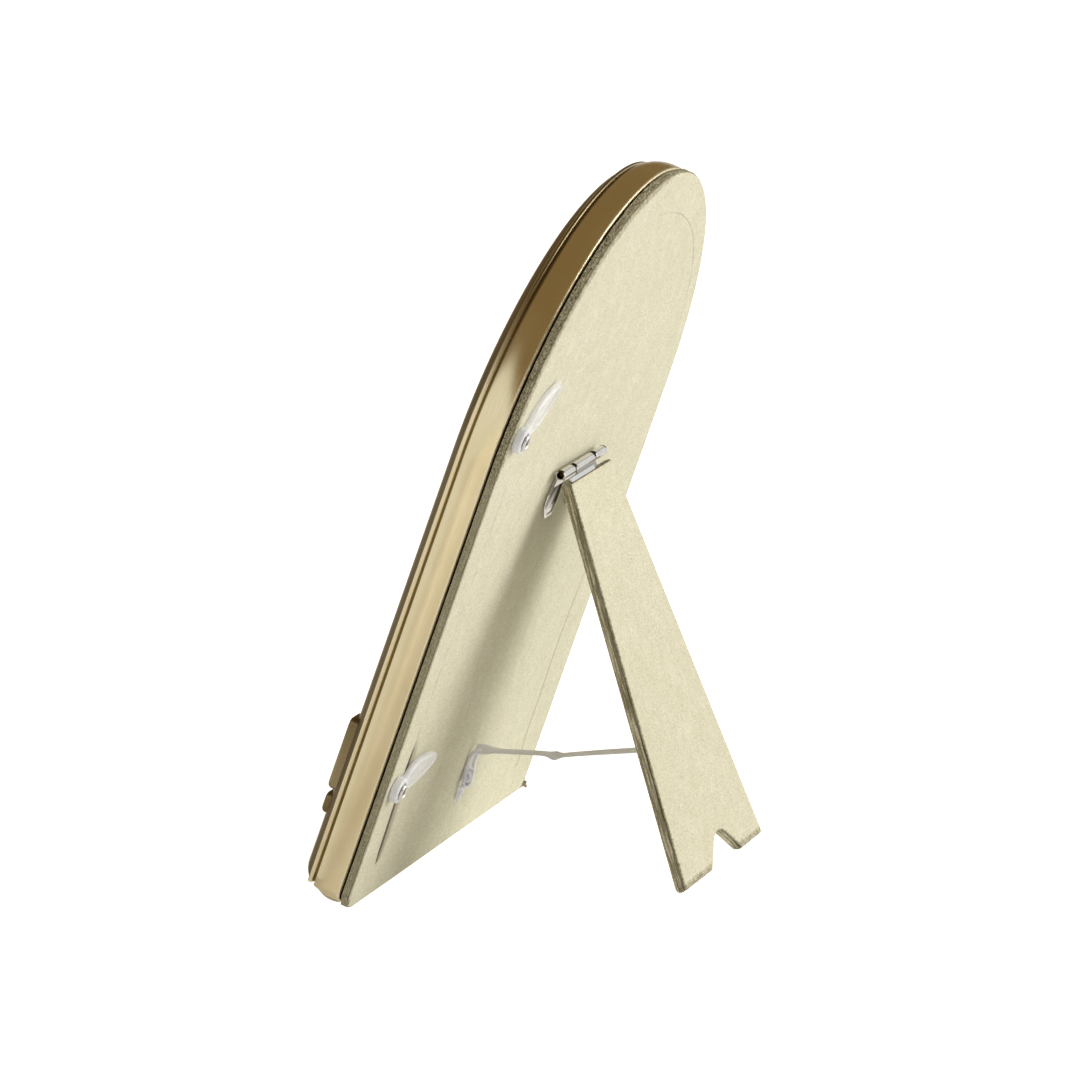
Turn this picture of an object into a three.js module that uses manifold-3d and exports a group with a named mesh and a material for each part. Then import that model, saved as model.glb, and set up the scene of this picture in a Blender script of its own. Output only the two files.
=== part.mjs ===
// Arched picture frame on an easel strut: moulding, glazing, flocked back, turn buttons, hinge, strut and stay.
import * as THREE from 'three';
import { mergeVertices } from 'three/addons/utils/BufferGeometryUtils.js';
import Module from 'manifold-3d';

const wasm = await Module();
wasm.setup();

// Driving sizes of the frame, in millimetres and degrees
const WIDTH = 126;
const HEIGHT = 173.5;
const LEAN = 20.96;
const OPEN_ANGLE = 39.55;
const ARCH_STEPS = 54;
const CLEARANCE = 0.3;
const GLUE = 0.1;
const RADIUS = WIDTH / 2;
const SPRING = HEIGHT - RADIUS;

// Board and flock of the back
const CORE = 1.55;
const FLOCK = 0.4;
const SKIN_TRIM = 0.3;
const BACK = GLUE + FLOCK;
const BORDER = 12;
const BOTTOM_BORDER = 8.8;

// Moulding, given as inset from the outer edge and depth forward of its rear seat
const SEAT = -CORE - GLUE;
const RABBET_INSET = 11.6;
const RABBET_DEPTH = 7.5;
const SIGHT_INSET = 15.2;
const CROWN_DEPTH = 11.65;
const CROWN_INSET = 8.2;

// Contents of the rabbet
const GLASS = 2;
const PAPER = 0.3;

// Turn buttons: round boss, neck and leaf-shaped blade
const BUTTON_LENGTH = 20.5;
const BUTTON_BOSS = 3.1;
const BUTTON_BOSS_HEIGHT = 1.9;
const BUTTON_NECK = 1.9;
const BLADE_HALF = 3.2;
const BLADE_HEIGHT = 1.5;
const BLADE_FLOOR = 0.9;
const BUTTON_RIM = 0.7;
const DRILL_LONG = 20;
const RIVET_SHANK = 1.1;
const RIVET_HEAD = 1.9;
const RIVET_TAIL = 1.45;
const RIVET_OUT = 0.9;
const BUTTON_UPPER_RISE = 8.3;
const BUTTON_LOWER_UP = 30.6;
const BUTTON_UPPER_TURN = 56;
const BUTTON_LOWER_TURN = 76;

// Ornament on the front, as two plain faceted pads
const ORNAMENT_INSET = 8;
const BAR_HALF = 3.4;
const BAR_LOW = 24.2;
const BAR_HIGH = 42.2;
const BAR_STAND = 1.4;
const STUD_HALF = 2.6;
const STUD_LOW = 17.9;
const STUD_HIGH = 23.2;
const STUD_STAND = 1.1;
const PAD_CHAMFER = 0.8;
const PAD_SINK = 1.6;

// Easel hinge
const AXIS_UP = 101.4;
const AXIS_OUT = BACK + 2;
const PIN_RADIUS = 0.6;
const RUNNING = 0.1;
const SHEET = 0.5;
const KNUCKLE = PIN_RADIUS + RUNNING + SHEET;
const BARREL_HALF = 15.5;
const MIDDLE_HALF = 7.1;
const WING_HALF = 13;
const WING_WIDE = 10.5;
const WING_TAPER = 1.2;
const WING_TIP_IN = 3.2;
const WING_HEEL_IN = 6.8;
const WING_HEEL_UP = 1.5;
const WING_SHOULDER_OUT = 4.2;
const WING_SHOULDER_IN = 4.9;
const WING_DROP = 13.1;
const WING_POINT = 2.6;
const WING_RIM = 1;
const WING_BRIDGE = 4.6;
const PRONG_HALF = 0.8;

// Strut, with its thickness counted from the hinge axis along the rear normal
const STRUT_CORE_FRONT = -0.5;
const STRUT_CORE_REAR = 1.2;
const STRUT_TOP = 2.4;
const STRUT_TOP_HALF = 15.1;
const STRUT_FOOT_HALF = 29.4;
const NOTCH_ASIDE = -2.4;
const NOTCH_HALF = 11.4;
const NOTCH_SHOULDER = 4.6;
const NOTCH_RISE = 7;
const FOOT_ROUND = 2.5;
const LEAF_REACH = 14;
const LEAF_HALF = 13.5;

// Stay ribbon
const RIBBON_WIDTH = 3;
const RIBBON_THICK = 0.4;
const RIBBON_UP = 26;
const RIBBON_SAG = 0.35;
const RIBBON_RISE = 3.4;

const lean = THREE.MathUtils.degToRad(LEAN);
const open = THREE.MathUtils.degToRad(OPEN_ANGLE);
const spread = open - lean;

// Geometry helpers

// Joins equal corners, drops empty triangles and makes the faces point outward.
function tidy(geometry) {
  const bare = geometry.clone();
  bare.deleteAttribute('normal');
  bare.deleteAttribute('uv');
  const joined = mergeVertices(bare, 1e-4);
  const p = joined.attributes.position;
  const from = joined.index.array;
  const kept = [];
  let volume = 0;
  const a = new THREE.Vector3();
  const b = new THREE.Vector3();
  const c = new THREE.Vector3();
  for (let i = 0; i < from.length; i += 3) {
    const [i0, i1, i2] = [from[i], from[i + 1], from[i + 2]];
    if (i0 === i1 || i1 === i2 || i0 === i2) continue;
    kept.push(i0, i1, i2);
    a.fromBufferAttribute(p, i0);
    b.fromBufferAttribute(p, i1);
    c.fromBufferAttribute(p, i2);
    volume += a.dot(b.cross(c));
  }
  if (volume < 0) {
    for (let i = 0; i < kept.length; i += 3) {
      const swap = kept[i + 1];
      kept[i + 1] = kept[i + 2];
      kept[i + 2] = swap;
    }
  }
  joined.setIndex(kept);
  joined.computeVertexNormals();
  return joined;
}

function toSolid(geometry) {
  const g = tidy(geometry);
  const mesh = new wasm.Mesh({
    numProp: 3,
    vertProperties: new Float32Array(g.attributes.position.array),
    triVerts: new Uint32Array(g.index.array),
  });
  return new wasm.Manifold(mesh);
}

function toGeometry(solid) {
  const mesh = solid.getMesh();
  const g = new THREE.BufferGeometry();
  g.setAttribute('position', new THREE.BufferAttribute(new Float32Array(mesh.vertProperties), 3));
  g.setIndex(new THREE.BufferAttribute(new Uint32Array(mesh.triVerts), 1));
  g.computeVertexNormals();
  return g;
}

// A plate drawn in width and height whose rear face lies at the given depth.
function plate(shape, rear, thickness, steps = 12) {
  const g = new THREE.ExtrudeGeometry(shape, { depth: thickness, bevelEnabled: false, curveSegments: steps });
  g.rotateX(Math.PI / 2);
  g.translate(0, rear, 0);
  return tidy(g);
}

// A prism along the width, drawn in depth and height.
function prism(points, left, right) {
  const shape = new THREE.Shape(points.map(([depth, up]) => new THREE.Vector2(depth, up)));
  const g = new THREE.ExtrudeGeometry(shape, { depth: right - left, bevelEnabled: false });
  g.applyMatrix4(new THREE.Matrix4().makeBasis(
    new THREE.Vector3(0, 1, 0), new THREE.Vector3(0, 0, 1), new THREE.Vector3(1, 0, 0)));
  g.translate(left, 0, 0);
  return tidy(g);
}

function cylinderAlongWidth(radius, left, right, steps) {
  const g = new THREE.CylinderGeometry(radius, radius, right - left, steps);
  g.rotateZ(Math.PI / 2);
  g.translate((left + right) / 2, 0, 0);
  return tidy(g);
}

function box(x0, x1, y0, y1, z0, z1) {
  const g = new THREE.BoxGeometry(x1 - x0, y1 - y0, z1 - z0);
  g.translate((x0 + x1) / 2, (y0 + y1) / 2, (z0 + z1) / 2);
  return tidy(g);
}

// Straight sides under a half circle, moved in from the frame's outer edge.
function archShape(inset, bottom) {
  const r = RADIUS - inset;
  const shape = new THREE.Shape();
  shape.moveTo(-r, bottom);
  shape.lineTo(r, bottom);
  shape.lineTo(r, SPRING);
  shape.absarc(0, SPRING, r, 0, Math.PI, false);
  shape.closePath();
  return shape;
}

// A round bar along the depth, used to drill rivet holes.
function drill(x, z, radius) {
  const g = new THREE.CylinderGeometry(radius, radius, DRILL_LONG, 24);
  g.translate(x, 0, z);
  return toSolid(g);
}

// Sweeps a closed section round the arch, with mitres at the two lower corners.
function sweepRound(section) {
  const stations = [];
  stations.push((inset) => [RADIUS - inset, inset]);
  for (let k = 0; k <= ARCH_STEPS; k++) {
    const t = Math.PI * k / ARCH_STEPS;
    stations.push((inset) => [(RADIUS - inset) * Math.cos(t), SPRING + (RADIUS - inset) * Math.sin(t)]);
  }
  stations.push((inset) => [-(RADIUS - inset), inset]);
  const position = [];
  for (const station of stations) {
    for (const [inset, forward] of section) {
      const [x, z] = station(inset);
      position.push(x, SEAT - forward, z);
    }
  }
  const n = section.length;
  const index = [];
  for (let s = 0; s < stations.length; s++) {
    const next = (s + 1) % stations.length;
    for (let k = 0; k < n; k++) {
      const k2 = (k + 1) % n;
      index.push(s * n + k, next * n + k, next * n + k2);
      index.push(s * n + k, next * n + k2, s * n + k2);
    }
  }
  const g = new THREE.BufferGeometry();
  g.setAttribute('position', new THREE.Float32BufferAttribute(position, 3));
  g.setIndex(index);
  return tidy(g);
}

// Section of the moulding

function arcThrough(start, end, bulge, steps) {
  const points = [];
  const [x0, y0] = start;
  const [x1, y1] = end;
  const length = Math.hypot(x1 - x0, y1 - y0);
  const side = [(y1 - y0) / length, -(x1 - x0) / length];
  for (let k = 0; k <= steps; k++) {
    const t = k / steps;
    const lift = 4 * bulge * t * (1 - t);
    points.push([x0 + (x1 - x0) * t + side[0] * lift, y0 + (y1 - y0) * t + side[1] * lift]);
  }
  return points;
}

const crownOuter = arcThrough([3.45, 9.65], [CROWN_INSET, CROWN_DEPTH], -0.62, 6);
const crownInner = arcThrough([CROWN_INSET, CROWN_DEPTH], [12, 9.9], -0.35, 5);
const mouldingSection = [
  [1.8, 0],
  [1.8, 0.45],
  [0.75, 0.45],
  ...arcThrough([0.3, 0.9], [1.5, 7.3], -0.75, 9),
  [1.85, 7.45],
  [2.7, 7.55],
  [2.7, 7.9],
  [2.35, 8.02],
  [2.02, 8.3],
  [1.92, 8.66],
  [2.08, 9.02],
  [2.5, 9.26],
  [3.15, 9.3],
  [3.2, 9.5],
  ...crownOuter,
  ...crownInner.slice(1),
  [12.1, 9.45],
  [13.6, 9.25],
  [14.6, 9.0],
  [15.05, 8.7],
  [SIGHT_INSET, 8.3],
  [SIGHT_INSET, RABBET_DEPTH],
  [RABBET_INSET, RABBET_DEPTH],
  [RABBET_INSET, 0],
  [9.8, 0],
  [9.8, 8.3],
  [9.2, 8.9],
  [5.4, 8.9],
  [4.6, 7.7],
  [2.9, 4.4],
  [2.9, 0],
];

// Turn button outline, drawn with the rivet at the origin and the blade upward
function bladeHalf(t) {
  const leaf = BLADE_HALF * Math.pow(Math.sin(Math.PI * Math.pow(t, 0.85)), 0.8);
  return Math.max(leaf, BUTTON_NECK * (1 - THREE.MathUtils.smoothstep(t, 0.1, 0.6)));
}

function bladeOutline(inward, start) {
  const along = 20;
  const reach = BUTTON_LENGTH - 1.6 * inward;
  const right = [];
  for (let k = 0; k < along; k++) {
    const t = k / along;
    const half = Math.max(0.3, bladeHalf(t) - inward);
    right.push(new THREE.Vector2(half, start + (reach - start) * t));
  }
  const left = right.map((q) => new THREE.Vector2(-q.x, q.y)).reverse();
  return new THREE.Shape([...right, new THREE.Vector2(0, reach), ...left]);
}

function disc(radius) {
  const shape = new THREE.Shape();
  shape.absarc(0, 0, radius, 0, 2 * Math.PI, false);
  return shape;
}

function turnButton() {
  const blade = toSolid(plate(bladeOutline(0, BUTTON_BOSS * 0.5), BLADE_HEIGHT, BLADE_HEIGHT));
  const dish = toSolid(plate(bladeOutline(BUTTON_RIM, BUTTON_BOSS + BUTTON_RIM), BLADE_HEIGHT + 1, BLADE_HEIGHT + 1 - BLADE_FLOOR));
  const boss = toSolid(plate(disc(BUTTON_BOSS), BUTTON_BOSS_HEIGHT, BUTTON_BOSS_HEIGHT));
  const hole = toSolid(plate(disc(RIVET_SHANK + RUNNING), BUTTON_BOSS_HEIGHT + 1, BUTTON_BOSS_HEIGHT + 2));
  return toGeometry(blade.subtract(dish).add(boss).subtract(hole));
}

// Hollow rivet: flared tail behind the board, shank, and a rolled head with a dimple over the button
function rivet(buttonFoot) {
  const head = buttonFoot + BUTTON_BOSS_HEIGHT + GLUE;
  const tail = -CORE - GLUE;
  const crest = head + 0.6;
  const points = [[0, tail - 0.5], [RIVET_TAIL - 0.1, tail - 0.5], [RIVET_TAIL, tail], [RIVET_SHANK, tail],
    [RIVET_SHANK, head], [RIVET_HEAD, head], [RIVET_HEAD, head + 0.25], [RIVET_HEAD - 0.2, crest - 0.1],
    [RIVET_HEAD - 0.6, crest], [RIVET_HEAD - 0.95, crest - 0.15], [RIVET_SHANK - 0.4, crest - 0.6], [0, crest - 0.7]];
  return tidy(new THREE.LatheGeometry(points.map(([r, y]) => new THREE.Vector2(r, y)), 24));
}

// The pieces, grouped as they move

const root = new THREE.Group();
root.name = 'arched_picture_frame';
const tilted = new THREE.Group();
tilted.rotation.x = -lean;
root.add(tilted);

function addPiece(group, name, geometry, colour, roughness, metalness) {
  const material = new THREE.MeshStandardMaterial({ color: colour, roughness, metalness });
  const mesh = new THREE.Mesh(geometry, material);
  mesh.name = name;
  group.add(mesh);
  return mesh;
}

const GOLD = 0xcbbd98;
const CREAM = 0xe1dabe;
const GREYBOARD = 0x8a8567;
const NICKEL = 0xc9cacb;

// Moulding and its applied ornament
addPiece(tilted, 'frame_moulding', sweepRound(mouldingSection), GOLD, 0.38, 0.9);

const ornamentAcross = RADIUS - ORNAMENT_INSET;
const crownCut = (() => {
  const low = 6;
  const profile = [...crownOuter, ...crownInner.slice(1), [13.5, 9.3], [13.5, low], [3.4, low]];
  const shape = new THREE.Shape(profile.map(([inset, forward]) =>
    new THREE.Vector2(RADIUS - inset, -(SEAT - forward - GLUE))));
  const g = new THREE.ExtrudeGeometry(shape, { depth: BAR_HIGH + STUD_LOW, bevelEnabled: false });
  g.applyMatrix4(new THREE.Matrix4().makeBasis(
    new THREE.Vector3(1, 0, 0), new THREE.Vector3(0, -1, 0), new THREE.Vector3(0, 0, 1)));
  return toSolid(g);
})();

function facetedPad(halfWide, low, high, stand, chamfer) {
  const rear = SEAT - CROWN_DEPTH + PAD_SINK;
  const front = SEAT - CROWN_DEPTH - stand;
  const outline = (inset, cut) => [
    [-halfWide + inset, low + cut], [-halfWide + cut, low + inset], [halfWide - cut, low + inset],
    [halfWide - inset, low + cut], [halfWide - inset, high - cut], [halfWide - cut, high - inset],
    [-halfWide + cut, high - inset], [-halfWide + inset, high - cut],
  ];
  const levels = [[rear, 0], [front + chamfer, 0], [front, chamfer]];
  const position = [];
  for (const [depth, inset] of levels) {
    for (const [x, z] of outline(inset, chamfer * 1.6)) position.push(ornamentAcross + x, depth, z);
  }
  const index = [];
  for (let level = 0; level < 2; level++) {
    for (let k = 0; k < 8; k++) {
      const k2 = (k + 1) % 8;
      index.push(level * 8 + k, level * 8 + k2, level * 8 + 8 + k2);
      index.push(level * 8 + k, level * 8 + 8 + k2, level * 8 + 8 + k);
    }
  }
  for (let k = 1; k < 7; k++) {
    index.push(0, k + 1, k);
    index.push(16, 16 + k, 16 + k + 1);
  }
  const g = new THREE.BufferGeometry();
  g.setAttribute('position', new THREE.Float32BufferAttribute(position, 3));
  g.setIndex(index);
  return toGeometry(toSolid(g).subtract(crownCut));
}
addPiece(tilted, 'ornament_bar', facetedPad(BAR_HALF, BAR_LOW, BAR_HIGH, BAR_STAND, PAD_CHAMFER), GOLD, 0.36, 0.9);
addPiece(tilted, 'ornament_stud', facetedPad(STUD_HALF, STUD_LOW, STUD_HIGH, STUD_STAND, PAD_CHAMFER), GOLD, 0.36, 0.9);

// Glass, picture blank and filler board in the rabbet
const glassRear = SEAT - RABBET_DEPTH + GLUE + GLASS;
const paperRear = glassRear + GLUE + PAPER;
const fillerRear = SEAT - GLUE;
const contentsInset = RABBET_INSET + CLEARANCE;
const contentsShape = () => archShape(contentsInset, contentsInset);
addPiece(tilted, 'glass_pane', plate(contentsShape(), glassRear, GLASS, ARCH_STEPS), 0xdfe8e6, 0.05, 0);
addPiece(tilted, 'picture_blank', plate(contentsShape(), paperRear, PAPER, ARCH_STEPS), 0xf2efe8, 0.7, 0);
addPiece(tilted, 'filler_board', plate(contentsShape(), fillerRear, fillerRear - paperRear - GLUE, ARCH_STEPS),
  0xb59a72, 0.9, 0);

// Back: border and door boards under one flock sheet, which is slit round the door and whole along its foot
const rivetAcross = RADIUS - BORDER / 2 + RIVET_OUT;
const buttonUpperUp = SPRING + BUTTON_UPPER_RISE;
const rivetPlaces = [buttonUpperUp, BUTTON_LOWER_UP];
const doorShape = () => archShape(BORDER + CLEARANCE / 2, BOTTOM_BORDER + CLEARANCE / 2);
const doorwayShape = () => archShape(BORDER - CLEARANCE / 2, BOTTOM_BORDER - CLEARANCE / 2);
const prongAcross = WING_HALF - WING_WIDE / 2;
const prongUp = AXIS_UP - WING_DROP + WING_POINT + 0.4;

function drillRivets(solid) {
  return rivetPlaces.reduce((left, up) => left.subtract(drill(rivetAcross, up, RIVET_SHANK + RUNNING)), solid);
}

function cutProngs(solid) {
  let left = solid;
  for (const side of [-1, 1]) {
    const across = side * prongAcross;
    const slot = box(across - PRONG_HALF - CLEARANCE, across + PRONG_HALF + CLEARANCE, -CORE - 1, BACK + 1,
      prongUp - SHEET / 2 - CLEARANCE, prongUp + SHEET / 2 + CLEARANCE);
    left = left.subtract(toSolid(slot));
  }
  return left;
}

const borderShape = archShape(0, 0);
borderShape.holes.push(doorwayShape());
const borderBoard = drillRivets(toSolid(plate(borderShape, 0, CORE, ARCH_STEPS)));
addPiece(tilted, 'border_board', toGeometry(borderBoard), GREYBOARD, 0.95, 0);
addPiece(tilted, 'door_board', toGeometry(cutProngs(toSolid(plate(doorShape(), 0, CORE, ARCH_STEPS)))), GREYBOARD, 0.95, 0);

const slitRing = doorwayShape();
slitRing.holes.push(doorShape());
const slit = toSolid(plate(slitRing, BACK + 1, FLOCK + 2, ARCH_STEPS));
const footStrip = box(-RADIUS, RADIUS, -CORE, BACK + 2, 0, BOTTOM_BORDER + CLEARANCE);
const flockSheet = toSolid(plate(archShape(SKIN_TRIM, SKIN_TRIM), BACK, FLOCK, ARCH_STEPS));
const backFlock = cutProngs(drillRivets(flockSheet.subtract(slit.subtract(toSolid(footStrip)))));
addPiece(tilted, 'back_flock', toGeometry(backFlock), CREAM, 1, 0);

// Turn buttons on their rivets
const buttonFoot = BACK + GLUE;
for (const [name, up, turn] of [
  ['upper', buttonUpperUp, BUTTON_UPPER_TURN],
  ['lower', BUTTON_LOWER_UP, BUTTON_LOWER_TURN],
]) {
  const button = addPiece(tilted, `turn_button_${name}`, turnButton(), 0xe9ebe6, 0.25, 0);
  button.position.set(rivetAcross, buttonFoot, up);
  button.rotation.y = -THREE.MathUtils.degToRad(turn);
  const pin = addPiece(tilted, `turn_button_rivet_${name}`, rivet(buttonFoot), NICKEL, 0.3, 1);
  pin.position.set(rivetAcross, 0, up);
}

// Fixed leaf of the hinge: two pointed legs with a raised rim, two knuckles and two prongs into the door
const leafFoot = BACK + GLUE;
const wingTop = AXIS_UP - KNUCKLE - 0.6;
const wingTip = AXIS_UP - WING_DROP;
function legShape(side, inset) {
  const outer = WING_HALF - inset;
  const inner = WING_HALF - WING_WIDE + inset;
  const points = [[outer - WING_TAPER, wingTop - inset], [outer, wingTip + WING_SHOULDER_OUT + inset * 0.2],
    [WING_HALF - WING_TIP_IN, wingTip + inset * 1.4], [WING_HALF - WING_HEEL_IN, wingTip + WING_HEEL_UP + inset * 1.2],
    [inner, wingTip + WING_SHOULDER_IN + inset * 0.6], [inner, wingTop - inset]];
  return new THREE.Shape(points.map(([x, z]) => new THREE.Vector2(side * x, z)));
}
const bridgeHalf = WING_HALF - WING_TAPER;
const bridge = box(-bridgeHalf, bridgeHalf, leafFoot, leafFoot + SHEET, AXIS_UP - WING_BRIDGE, wingTop);
let fixedLeaf = toSolid(bridge);
for (const side of [-1, 1]) {
  const leg = toSolid(plate(legShape(side, 0), leafFoot + SHEET, SHEET));
  const dish = toSolid(plate(legShape(side, WING_RIM), leafFoot + SHEET + 1, 1 + SHEET / 2));
  fixedLeaf = fixedLeaf.add(leg).subtract(dish);
  const inner = side > 0 ? MIDDLE_HALF + CLEARANCE : -BARREL_HALF;
  const outer = side > 0 ? BARREL_HALF : -MIDDLE_HALF - CLEARANCE;
  const ring = cylinderAlongWidth(KNUCKLE, inner, outer, 28);
  ring.translate(0, AXIS_OUT, AXIS_UP);
  fixedLeaf = fixedLeaf.add(toSolid(ring));
  const strapIn = side > 0 ? MIDDLE_HALF + CLEARANCE : -bridgeHalf;
  const strapOut = side > 0 ? bridgeHalf : -MIDDLE_HALF - CLEARANCE;
  const strap = prism([
    [leafFoot, wingTop - 1.2], [leafFoot, wingTop + 0.2], [AXIS_OUT - KNUCKLE + 0.02, AXIS_UP],
    [AXIS_OUT - KNUCKLE + SHEET, AXIS_UP], [leafFoot + SHEET, wingTop], [leafFoot + SHEET, wingTop - 1.2],
  ], strapIn, strapOut);
  fixedLeaf = fixedLeaf.add(toSolid(strap));
  const prong = box(side * prongAcross - PRONG_HALF, side * prongAcross + PRONG_HALF, -CORE + GLUE, leafFoot + SHEET / 2,
    prongUp - SHEET / 2, prongUp + SHEET / 2);
  fixedLeaf = fixedLeaf.add(toSolid(prong));
}
const pinBore = cylinderAlongWidth(PIN_RADIUS + RUNNING, -BARREL_HALF - 1, BARREL_HALF + 1, 28);
pinBore.translate(0, AXIS_OUT, AXIS_UP);
fixedLeaf = fixedLeaf.subtract(toSolid(pinBore));
addPiece(tilted, 'hinge_fixed_leaf', toGeometry(fixedLeaf), NICKEL, 0.25, 1);

const pin = cylinderAlongWidth(PIN_RADIUS, -BARREL_HALF - 0.25, BARREL_HALF + 0.25, 24);
pin.translate(0, AXIS_OUT, AXIS_UP);
addPiece(tilted, 'hinge_pin', pin, NICKEL, 0.3, 1);

// Strut and the moving leaf, drawn hanging from the hinge axis and then swung open
const strut = new THREE.Group();
strut.position.set(0, AXIS_OUT, AXIS_UP);
strut.rotation.x = open;
tilted.add(strut);

const axisHeight = AXIS_UP * Math.cos(lean) - AXIS_OUT * Math.sin(lean);
const strutLength = (axisHeight + STRUT_CORE_FRONT * Math.sin(spread)) / Math.cos(spread);
function strutShape(trim) {
  const shape = new THREE.Shape();
  const low = -strutLength + trim;
  const foot = STRUT_FOOT_HALF - trim;
  const top = STRUT_TOP_HALF - trim;
  const slope = (foot - top) / (strutLength - STRUT_TOP);
  const notch = NOTCH_HALF + trim;
  const apex = low + NOTCH_RISE;
  shape.moveTo(-foot + FOOT_ROUND, low);
  shape.lineTo(NOTCH_ASIDE - notch, low);
  const shoulder = NOTCH_SHOULDER + trim;
  const wall = low + NOTCH_RISE * 0.76;
  shape.lineTo(NOTCH_ASIDE - shoulder, wall);
  shape.quadraticCurveTo(NOTCH_ASIDE - shoulder * 0.55, apex, NOTCH_ASIDE, apex);
  shape.quadraticCurveTo(NOTCH_ASIDE + shoulder * 0.55, apex, NOTCH_ASIDE + shoulder, wall);
  shape.lineTo(NOTCH_ASIDE + notch, low);
  shape.lineTo(foot - FOOT_ROUND, low);
  shape.quadraticCurveTo(foot, low, foot - FOOT_ROUND * slope, low + FOOT_ROUND);
  shape.lineTo(top, -STRUT_TOP - trim);
  shape.lineTo(-top, -STRUT_TOP - trim);
  shape.lineTo(-foot + FOOT_ROUND * slope, low + FOOT_ROUND);
  shape.quadraticCurveTo(-foot, low, -foot + FOOT_ROUND, low);
  return shape;
}
const strutCoreThick = STRUT_CORE_REAR - STRUT_CORE_FRONT;
const leafFront = KNUCKLE - SHEET;
const pocket = box(-LEAF_HALF - CLEARANCE, LEAF_HALF + CLEARANCE, leafFront - GLUE, STRUT_CORE_REAR + 1,
  -LEAF_REACH - CLEARANCE, 0);
const strutCore = toSolid(plate(strutShape(0), STRUT_CORE_REAR, strutCoreThick, 8)).subtract(toSolid(pocket));
addPiece(strut, 'strut_board', toGeometry(strutCore), GREYBOARD, 0.95, 0);
addPiece(strut, 'strut_flock_rear', plate(strutShape(SKIN_TRIM), STRUT_CORE_REAR + GLUE + FLOCK, FLOCK, 8), CREAM, 1, 0);
addPiece(strut, 'strut_flock_front', plate(strutShape(SKIN_TRIM), STRUT_CORE_FRONT - GLUE, FLOCK, 8), CREAM, 1, 0);

let movingLeaf = toSolid(cylinderAlongWidth(KNUCKLE, -MIDDLE_HALF, MIDDLE_HALF, 28));
movingLeaf = movingLeaf.add(toSolid(box(-MIDDLE_HALF, MIDDLE_HALF, leafFront, KNUCKLE, -STRUT_TOP, 0)));
movingLeaf = movingLeaf.add(toSolid(box(-LEAF_HALF, LEAF_HALF, leafFront, KNUCKLE, -LEAF_REACH, -1.8)));
const movingBore = cylinderAlongWidth(PIN_RADIUS + RUNNING, -MIDDLE_HALF - 1, MIDDLE_HALF + 1, 28);
movingLeaf = movingLeaf.subtract(toSolid(movingBore));
addPiece(strut, 'hinge_moving_leaf', toGeometry(movingLeaf), NICKEL, 0.25, 1);

// Stay ribbon between the door and the strut, with its knot on the door
const strutFront = STRUT_CORE_FRONT - GLUE - FLOCK;
const knotCentre = new THREE.Vector3(0, BACK + 1.5, RIBBON_UP - 1);
const ribbonStart = new THREE.Vector3(0, BACK + 3.4, RIBBON_UP + 0.4);
const startHeight = ribbonStart.z * Math.cos(lean) - ribbonStart.y * Math.sin(lean);
const ribbonDown = (axisHeight - startHeight - RIBBON_RISE + strutFront * Math.sin(spread)) / Math.cos(spread);
const ribbonSide = strutFront - CLEARANCE;
const ribbonEnd = new THREE.Vector3(0,
  AXIS_OUT + ribbonDown * Math.sin(open) + ribbonSide * Math.cos(open),
  AXIS_UP - ribbonDown * Math.cos(open) + ribbonSide * Math.sin(open));
const fall = new THREE.Vector3(0, Math.sin(lean), -Math.cos(lean));

// A flat strip through the given places, turned about its own length by the given angles.
function strip(places, turns, wide, thick) {
  const position = [];
  const index = [];
  const across = new THREE.Vector3();
  const along = new THREE.Vector3();
  const face = new THREE.Vector3();
  const count = places.length;
  for (let k = 0; k < count; k++) {
    along.subVectors(places[Math.min(k + 1, count - 1)], places[Math.max(k - 1, 0)]).normalize();
    across.set(1, 0, 0).addScaledVector(along, -along.x).normalize().applyAxisAngle(along, turns[k]);
    face.crossVectors(along, across);
    for (const [a, b] of [[-1, -1], [1, -1], [1, 1], [-1, 1]]) {
      const q = places[k].clone().addScaledVector(across, a * wide / 2).addScaledVector(face, b * thick / 2);
      position.push(q.x, q.y, q.z);
    }
  }
  for (let k = 0; k + 1 < count; k++) {
    for (let c = 0; c < 4; c++) {
      const d = (c + 1) % 4;
      index.push(k * 4 + c, k * 4 + d, k * 4 + 4 + d);
      index.push(k * 4 + c, k * 4 + 4 + d, k * 4 + 4 + c);
    }
  }
  const last = (count - 1) * 4;
  index.push(0, 2, 1, 0, 3, 2);
  index.push(last, last + 1, last + 2, last, last + 2, last + 3);
  const g = new THREE.BufferGeometry();
  g.setAttribute('position', new THREE.Float32BufferAttribute(position, 3));
  g.setIndex(index);
  return tidy(g);
}

const ribbonPlaces = [];
const ribbonTurns = [];
for (let k = 0; k <= 28; k++) {
  const t = k / 28;
  const place = ribbonStart.clone().lerp(ribbonEnd, t).addScaledVector(fall, 4 * RIBBON_SAG * t * (1 - t));
  ribbonPlaces.push(place);
  ribbonTurns.push(THREE.MathUtils.degToRad(8 + 30 * THREE.MathUtils.smoothstep(t, 0.2, 0.55)));
}
addPiece(tilted, 'stay_ribbon', strip(ribbonPlaces, ribbonTurns, RIBBON_WIDTH, RIBBON_THICK), 0xaaa5af, 0.6, 0);

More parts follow.
